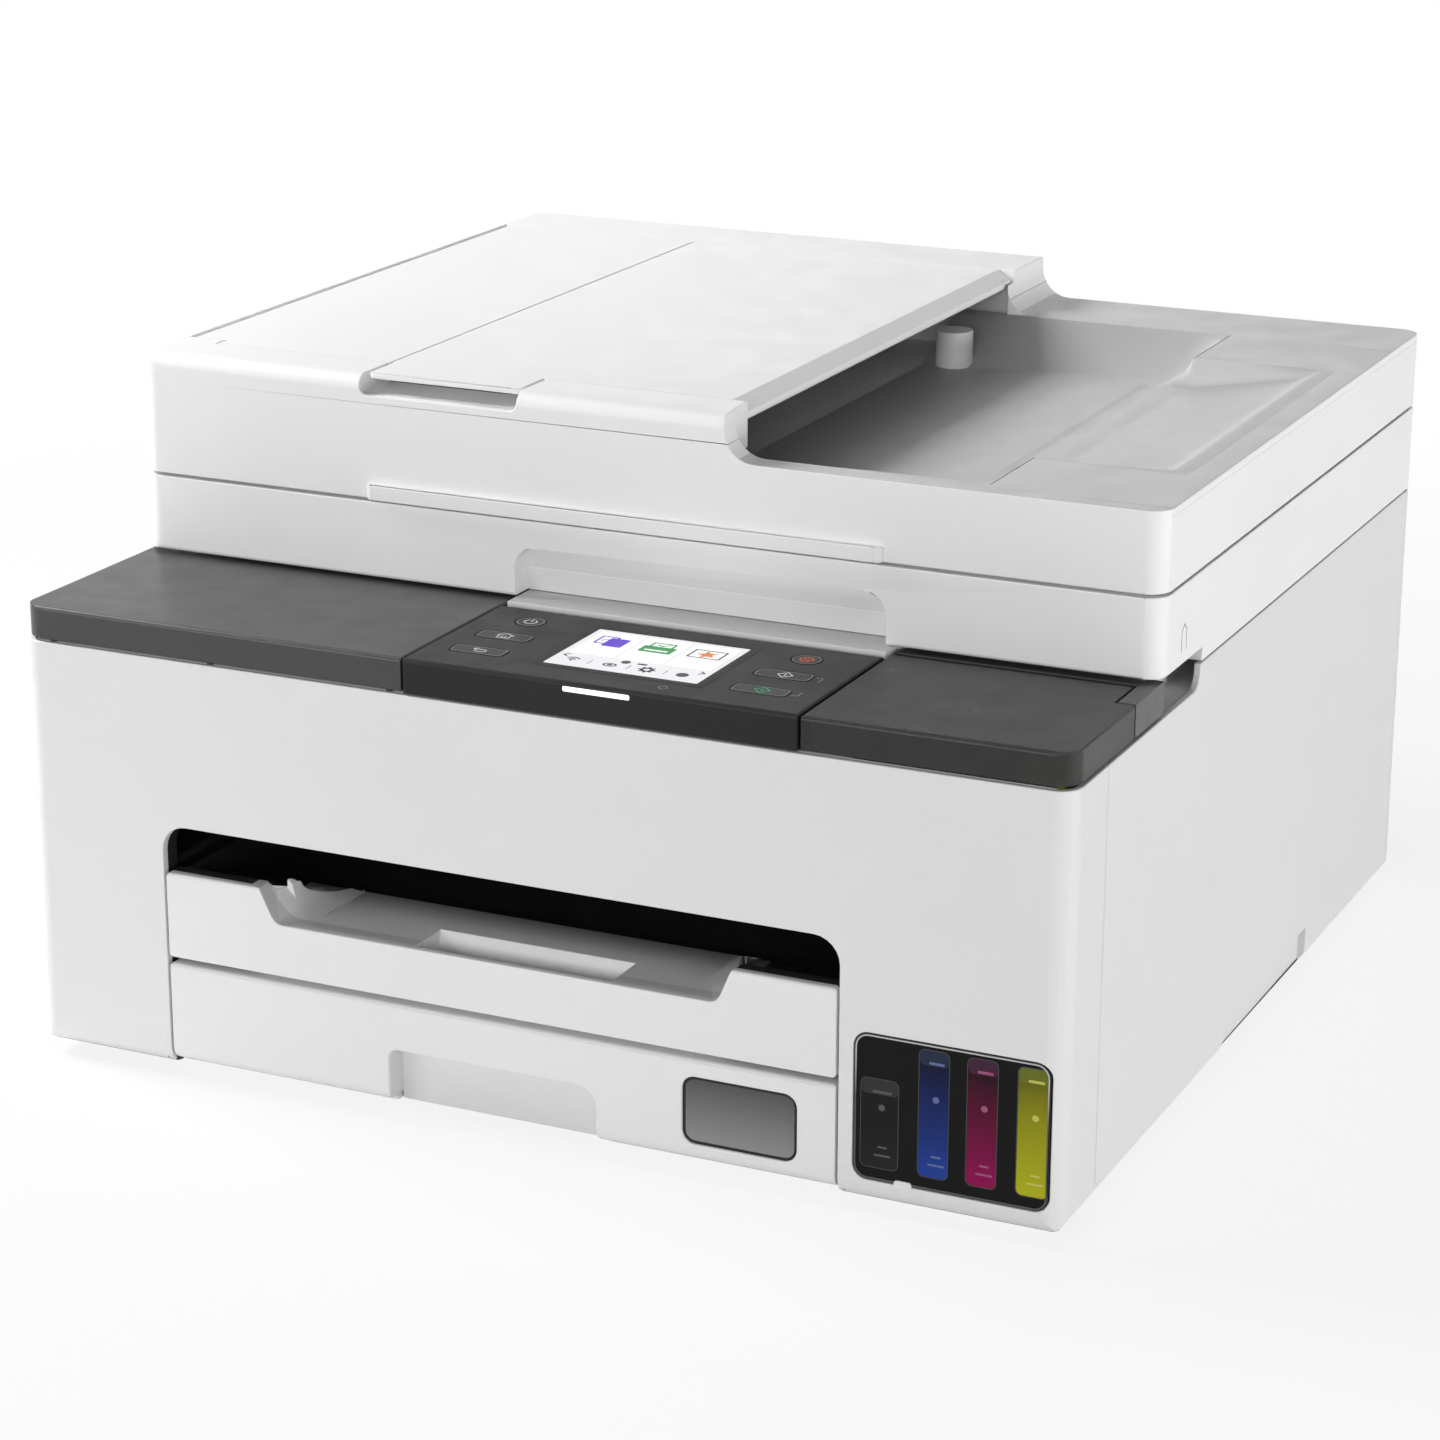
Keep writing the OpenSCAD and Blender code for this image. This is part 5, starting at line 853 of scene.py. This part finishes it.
def key_marks():
    """White and coloured printed marks with a painted glow, lying in the keys, each riding on its own key.
    """
    def key(node):
        low, high = node_mm(node)
        return (low + high) / 2, high.z + 0.02
    c, z = key("power_button")
    bm = bmesh.new()
    dot(bm, c.x, c.y, z, 4.6, PLATE_RISE, 40, 0, 1, 0.28)
    arc_stroke(bm, c.x, c.y, z, 2.1, 125, 415, 0.45, LINE_RISE, 0, 16)
    stroke(bm, (c.x, c.y + 0.4), (c.x, c.y + 2.7), z, 0.5, LINE_RISE, 0)
    finish_shape(bm, "power_mark", "power_key", [MARK_PAINTED_GLOW, OUTLINE_PAINTED_GLOW])
    c, z = key("home_button")
    bm = bmesh.new()
    pad(bm, c.x, c.y, z, *KEY_PLATE, PLATE_RISE, 1, 0.25)
    for s in (-1, 1):
        stroke(bm, (c.x, c.y + 2.5), (c.x + 3.0 * s, c.y + 0.6), z, LINE, LINE_RISE, 0)
        stroke(bm, (c.x + 2.1 * s, c.y + 0.9), (c.x + 2.1 * s, c.y - 2.1), z, LINE, LINE_RISE, 0)
        stroke(bm, (c.x + 0.6 * s, c.y - 2.1), (c.x + 0.6 * s, c.y - 0.2), z, 0.36, LINE_RISE, 0)
    stroke(bm, (c.x - 2.1, c.y - 2.1), (c.x + 2.1, c.y - 2.1), z, LINE, LINE_RISE, 0)
    finish_shape(bm, "home_mark", "home_key", [MARK_PAINTED_GLOW, OUTLINE_PAINTED_GLOW])
    c, z = key("back_button")
    bm = bmesh.new()
    pad(bm, c.x, c.y, z, *KEY_PLATE, PLATE_RISE, 1, 0.25)
    stroke(bm, (c.x - 2.2, c.y + 0.9), (c.x + 1.4, c.y + 0.9), z, LINE, LINE_RISE, 0)
    arc_stroke(bm, c.x + 1.4, c.y - 0.2, z, 1.1, -90, 90, LINE, LINE_RISE, 0, 6)
    stroke(bm, (c.x + 1.4, c.y - 1.3), (c.x - 1.2, c.y - 1.3), z, LINE, LINE_RISE, 0)
    for s in (-1, 1):
        stroke(bm, (c.x - 2.3, c.y + 0.9), (c.x - 1.2, c.y + 0.9 + 1.1 * s), z, LINE, LINE_RISE, 0)
    finish_shape(bm, "back_mark", "back_key", [MARK_PAINTED_GLOW, OUTLINE_PAINTED_GLOW])
    c, z = key("stop_button")
    bm = bmesh.new()
    dot(bm, c.x, c.y, z, 4.6, PLATE_RISE, 40, 0, 1, 0.2)
    dot(bm, c.x, c.y, z, 2.6, LINE_RISE, 8, OCTAGON_TURN, 0, 0.5)
    stroke(bm, (c.x - 1.0, c.y - 1.0), (c.x + 1.0, c.y + 1.0), z, 0.45, LINE_RISE, 0)
    stroke(bm, (c.x - 1.0, c.y + 1.0), (c.x + 1.0, c.y - 1.0), z, 0.45, LINE_RISE, 0)
    finish_shape(bm, "stop_mark_painted_glow", "stop_key", [STOP_MARK_PAINTED_GLOW, OUTLINE_PAINTED_GLOW])
    for tone, paint in (("black", MARK_PAINTED_GLOW), ("color", START_MARK_PAINTED_GLOW)):
        node, body = tone + "_start_button", tone + "_start_key"
        c, z = key(node)
        bm = bmesh.new()
        pad(bm, c.x, c.y, z, *KEY_PLATE, PLATE_RISE, 1, 0.25)
        dot(bm, c.x + 0.5, c.y, z, 2.9, LINE_RISE, 4, 0, 0, 0.4)
        stroke(bm, (c.x + 0.5, c.y - 1.0), (c.x + 0.5, c.y + 1.0), z, LINE, LINE_RISE, 0)
        finish_shape(bm, node + "_mark", body, [paint, OUTLINE_PAINTED_GLOW])


def panel_marks():
    low, high = node_mm("operation_panel")
    z = high.z + 0.01
    keys_low, keys_high = node_mm("color_start_button")
    rear_high = node_mm("black_start_button")[1]
    bm = bmesh.new()
    # bracket that joins the two start keys, printed with a painted glow
    x = keys_high.x + 2.2
    stroke(bm, (x - 0.9, keys_low.y + 2.6), (x + 1.2, keys_low.y + 2.6), z, 0.3, 0.03, 0)
    stroke(bm, (x + 1.2, keys_low.y + 2.6), (x + 1.2, keys_low.y + 6.6), z, 0.3, 0.03, 0)
    stroke(bm, (x - 0.9, rear_high.y - 2.6), (x + 1.2, rear_high.y - 2.6), z, 0.3, 0.03, 0)
    stroke(bm, (x + 1.2, rear_high.y - 2.6), (x + 1.2, rear_high.y - 6.6), z, 0.3, 0.03, 0)
    screen_low, screen_high = node_mm("display")
    dot(bm, screen_high.x - 8.3, low.y + 7.6, z, 2.0, 0.03, 4, 0, 0, 0.3)
    finish_shape(bm, "panel_marks", "panel", [OUTLINE_PAINTED_GLOW])
    # status lamp in the front edge
    bm = bmesh.new()
    pad(bm, screen_low.x + 26.9, high.z - 2.3, -low.y - 0.12, 23.3, 1.7, 0.5, 0.14, 0)
    finish_shape(bm, "status_lamp_bar", "panel", [LAMP], Matrix.Rotation(math.radians(90), 4, "X"), 0.05)
    # dark glass that the screen shines through, with a margin all round
    bm = bmesh.new()
    pad(bm, (screen_low.x + screen_high.x) / 2, (screen_low.y + screen_high.y) / 2, high.z,
        screen_high.x - screen_low.x + 2 * GLASS_MARGIN,
        screen_high.y - screen_low.y + 2 * GLASS_MARGIN, 0.8, GLASS_RISE, 0)
    finish_shape(bm, "screen_glass", "panel", [SCREEN_GLASS])


# ---------------------------------------------------------------- ink window

# middle and width across the front, then foot and top, from the window's lower left corner
TANK_WINDOWS = {
    "black": (8.8, 13.0, 4.2, 34.6), "cyan": (26.8, 10.4, 4.3, 47.3),
    "magenta": (42.8, 10.4, 4.3, 47.3), "yellow": (59.5, 10.8, 4.3, 47.3),
}


def ink_front():
    """The rims of the window, with painted highlight and sheen, and, for each tank, its ink, the air above
    it and its level marks.
    """
    ink, air, mark = range(3)
    seal, outer_rim_highlight, tank_rim_sheen = range(3)
    low, high = node_mm("ink_window")
    face = -low.y
    stand = Matrix.Rotation(math.radians(90), 4, "X")
    cx, cz = (low.x + high.x) / 2, (low.z + high.z) / 2
    w, h = high.x - low.x, high.z - low.z
    bm = bmesh.new()
    pad(bm, cx, cz, face - 0.1, w - 0.1, h - 0.1, 4.8, 0.30, seal, 0.35, steps=8)
    # outer rim with a painted highlight, lighter towards the top
    pad(bm, cx, cz, face - 0.1, w - 0.9, h - 0.9, 4.4, 0.38, outer_rim_highlight, 0.45, steps=8)
    for x, width, z0, z1 in TANK_WINDOWS.values():
        # tank rims in a dim grey of painted sheen
        pad(bm, low.x + x, low.z + (z0 + z1) / 2, face, width, z1 - z0, 2.2, 0.2, tank_rim_sheen, 0.3, steps=6)
    finish_shape(bm, "ink_window_rims", "body", [DARK_AND_PAINTED_SHADE, RIM_PAINTED_HIGHLIGHT, RIM_DIM_PAINTED_SHEEN], stand, 0.05)
    for name, (x, width, z0, z1) in TANK_WINDOWS.items():
        bm = bmesh.new()
        x, z0, z1 = low.x + x, low.z + z0, low.z + z1
        pad(bm, x, (z0 + z1) / 2, face, width - 0.6, z1 - z0 - 0.6, 1.9, 0.06, ink, steps=6)
        level = z1 - 5.4
        pad(bm, x, (level + z1 - 0.3) / 2, face + 0.05, width - 0.8, z1 - 0.3 - level, 1.6, 0.03, air)
        pad(bm, x + 0.8, level + 0.9, face + 0.07, width * 0.5, 0.9, 0.4, 0.03, mark)
        dot(bm, x + 0.7, z1 - 16.5 + (6.8 if name == "black" else 0), face + 0.05, 1.1, 0.03, 18, 0, mark)
        for half, step in ((1.6, 7.3), (2.8, 4.5)):
            pad(bm, x + 1.0, z0 + step, face + 0.05, 2 * half, 0.7, 0.3, 0.03, mark)
        finish_shape(bm, name + "_ink_front", "body", INKS[name], stand)
    bm = bmesh.new()
    pad(bm, low.x + 17.0, low.z + 0.2, face - 0.2, 6.0, 2.4, 1.15, 0.6, 0, steps=6)
    finish_shape(bm, "ink_window_tab", "body", [CASING], stand)


# ---------------------------------------------------------------- small parts

LATCH_DEPTH, LATCH_HEIGHT, LATCH_MIDDLE = 1.4, 7.4, 3.8

# middle and width from the window's left edge, and finish
CAP_LATCHES = (("black", 10.0, 14.0, KEY), ("cyan", 26.0, 14.6, CAP_BLUE),
               ("magenta", 42.3, 13.8, CAP_RED), ("yellow", 57.4, 12.0, CAP_OLIVE))


def cap_tabs():
    """Coloured latches at the front of the tank caps, seen through the smoked cover."""
    low = node_mm("ink_tank_cover")[0]
    window_x = node_mm("ink_window")[0].x
    front = low.y + 3.2
    for name, x, width, paint in CAP_LATCHES:
        bm = bmesh.new()
        made = bmesh.ops.create_cube(bm, size=1)["verts"]
        place = (window_x + x, front + LATCH_DEPTH / 2, low.z + LATCH_MIDDLE)
        bmesh.ops.scale(bm, vec=(width, LATCH_DEPTH, LATCH_HEIGHT), verts=made)
        bmesh.ops.translate(bm, vec=place, verts=made)
        finish_shape(bm, name + "_cap_latch", "body", [paint], bevel=0.5)


def window_rim():
    """Black seal round the cassette's paper window."""
    low, high = node_mm("cassette_window")
    bm = bmesh.new()
    pad(bm, (low.x + high.x) / 2, (low.z + high.z) / 2, -low.y - 0.1, high.x - low.x + 0.2,
        high.z - low.z + 0.2, 4.3, 0.25, 0, 0.9, steps=6)
    finish_shape(bm, "cassette_window_seal", "cassette", [KEY], Matrix.Rotation(math.radians(90), 4, "X"))


def hinge_mark():
    """Small pointed mark moulded on the scanner's right side, its relief drawn in dark grey as painted
    shade.
    """
    high = node_mm("scanner_case")[1]
    z0, z1 = high.z - 21.8, high.z - 13.2
    y0, y1 = from_front(95.8), from_front(100.4)
    shoulder = z1 - 2.2
    point = ((y0 + y1) / 2, z1)
    bm = bmesh.new()
    stroke(bm, (y0, z0), (y0, shoulder), 0, 0.45, 0.12)
    stroke(bm, (y1, z0), (y1, shoulder), 0, 0.45, 0.12)
    stroke(bm, (y0, shoulder), point, 0, 0.45, 0.12)
    stroke(bm, (y1, shoulder), point, 0, 0.45, 0.12)
    stand = Matrix(((0, 0, 1, high.x - 0.1), (1, 0, 0, 0), (0, 1, 0, 0), (0, 0, 0, 1)))
    finish_shape(bm, "hinge_mark", "scan_unit", [SEAM_PAINTED_SHADE], stand)


# ---------------------------------------------------------------- studio

SOFT_LIGHT = 0.08
FLOOR_SHARE = 0.84
FLOOR_NEAR, FLOOR_FAR = 0.32, 0.9

# place, aim, width, height, watts
LAMPS = {
    "left_softbox": ((-0.9, -0.1, 0.80), (0, 0, 0.2), 0.4, 0.35, 12),
    "front_left_softbox": ((-1.2, -2.4, 0.80), (0, 0, 0.15), 1.6, 0.7, 17),
    "front_right_softbox": ((0.6, -2.6, 0.80), (0, 0, 0.15), 1.8, 0.6, 23),
    "right_softbox": ((2.4, 0.1, 0.18), (0, 0, 0.12), 1.8, 0.3, 33),
    "back_softbox": ((-0.5, 2.4, 1.0), (0, 0, 0.1), 1.6, 1.0, 6),
}


def either(tree, one, two):
    node = tree.nodes.new("ShaderNodeMath")
    node.operation = "MAXIMUM"
    tree.links.new(one, node.inputs[0])
    tree.links.new(two, node.inputs[1])
    return node.outputs[0]


def seen_directly(tree):
    """1 for a ray from the camera, off a shiny face or through glass, and 0 for the light itself."""
    path = tree.nodes.new("ShaderNodeLightPath")
    looks = either(tree, path.outputs["Is Camera Ray"], path.outputs["Is Glossy Ray"])
    return either(tree, looks, path.outputs["Is Transmission Ray"])


def studio():
    """White surroundings, a white floor and five soft lamps."""
    scene = bpy.context.scene
    scene.view_settings.view_transform = "Standard"
    world = bpy.data.worlds.new("studio")
    scene.world = world
    world.use_nodes = True
    tree = world.node_tree
    out = tree.nodes["World Output"]
    soft = tree.nodes["Background"]
    soft.inputs["Color"].default_value = (1, 1, 1, 1)
    soft.inputs["Strength"].default_value = SOFT_LIGHT
    seen = tree.nodes.new("ShaderNodeBackground")
    seen.inputs["Color"].default_value = (1, 1, 1, 1)
    seen.inputs["Strength"].default_value = 1.0
    mix = tree.nodes.new("ShaderNodeMixShader")
    tree.links.new(seen_directly(tree), mix.inputs["Fac"])
    tree.links.new(soft.outputs[0], mix.inputs[1])
    tree.links.new(seen.outputs[0], mix.inputs[2])
    tree.links.new(mix.outputs[0], out.inputs["Surface"])

    bm = bmesh.new()
    bmesh.ops.create_grid(bm, x_segments=1, y_segments=1, size=6)
    mesh = bpy.data.meshes.new("floor")
    bm.to_mesh(mesh)
    bm.free()
    floor = bpy.data.objects.new("floor", mesh)
    scene.collection.objects.link(floor)
    mesh.materials.append(floor_finish())

    for name, (place, target, width, height, watts) in LAMPS.items():
        lamp = bpy.data.lights.new(name, "AREA")
        lamp.shape = "RECTANGLE"
        lamp.size = width
        lamp.size_y = height
        lamp.energy = watts
        stand = bpy.data.objects.new(name, lamp)
        aim = (Vector(target) - Vector(place)).to_track_quat("-Z", "Y")
        stand.matrix_world = Matrix.Translation(place) @ aim.to_matrix().to_4x4()
        stand.visible_camera = False
        scene.collection.objects.link(stand)


def floor_finish():
    """White paper that keeps soft shadows near the part and fades to plain white further out."""
    finish, tree, shader, place = new_finish("floor_paper")
    shader.inputs["Roughness"].default_value = 0.9
    shader.inputs["Specular IOR Level"].default_value = 0.0
    paper = tint_between(tree, noise_of(tree, place, 3, 2), grey(0.88), grey(0.9))
    tree.links.new(paper, shader.inputs["Base Color"])
    seen = tree.nodes.new("ShaderNodeEmission")
    seen.inputs["Strength"].default_value = 1.0
    share = tree.nodes.new("ShaderNodeMath")
    share.operation = "MULTIPLY"
    far = tree.nodes.new("ShaderNodeVectorMath")
    far.operation = "LENGTH"
    tree.links.new(place, far.inputs[0])
    glow = spread(tree, far.outputs["Value"], FLOOR_SHARE, 1.0, FLOOR_NEAR, FLOOR_FAR)
    tree.links.new(glow, share.inputs[1])
    tree.links.new(seen_directly(tree), share.inputs[0])
    mix = tree.nodes.new("ShaderNodeMixShader")
    tree.links.new(share.outputs[0], mix.inputs["Fac"])
    tree.links.new(shader.outputs[0], mix.inputs[1])
    tree.links.new(seen.outputs[0], mix.inputs[2])
    tree.links.new(mix.outputs[0], tree.nodes["Material Output"].inputs["Surface"])
    return finish


YAW, PITCH, ROLL = -0.4352839, -0.3122327, 0.0024366
CAMERA_PLACE = (0.5463418, -1.2072653, 0.5198935)
SENSOR = 36
FOCAL, FRAME_SIDE = 3859.956, 1440


def camera():
    yaw, pitch, roll = YAW, PITCH, ROLL
    ahead = Vector((math.sin(yaw) * math.cos(pitch), math.cos(yaw) * math.cos(pitch), math.sin(pitch)))
    across = Vector((math.cos(yaw), -math.sin(yaw), 0))
    upward = across.cross(ahead)
    right = across * math.cos(roll) + upward * math.sin(roll)
    top = upward * math.cos(roll) - across * math.sin(roll)
    lens = bpy.data.cameras.new("viewer")
    lens.sensor_width = SENSOR
    lens.lens = FOCAL / FRAME_SIDE * SENSOR
    lens.clip_start = 0.05
    lens.clip_end = 50
    viewer = bpy.data.objects.new("viewer", lens)
    turn = Matrix((right, top, -ahead)).transposed().to_4x4()
    viewer.matrix_world = Matrix.Translation(CAMERA_PLACE) @ turn
    bpy.context.scene.collection.objects.link(viewer)
    bpy.context.scene.camera = viewer


camera()
studio()
dress_nodes()
sheet_pocket()
screen_picture()
key_marks()
panel_marks()
ink_front()
cap_tabs()
window_rim()
hinge_mark()
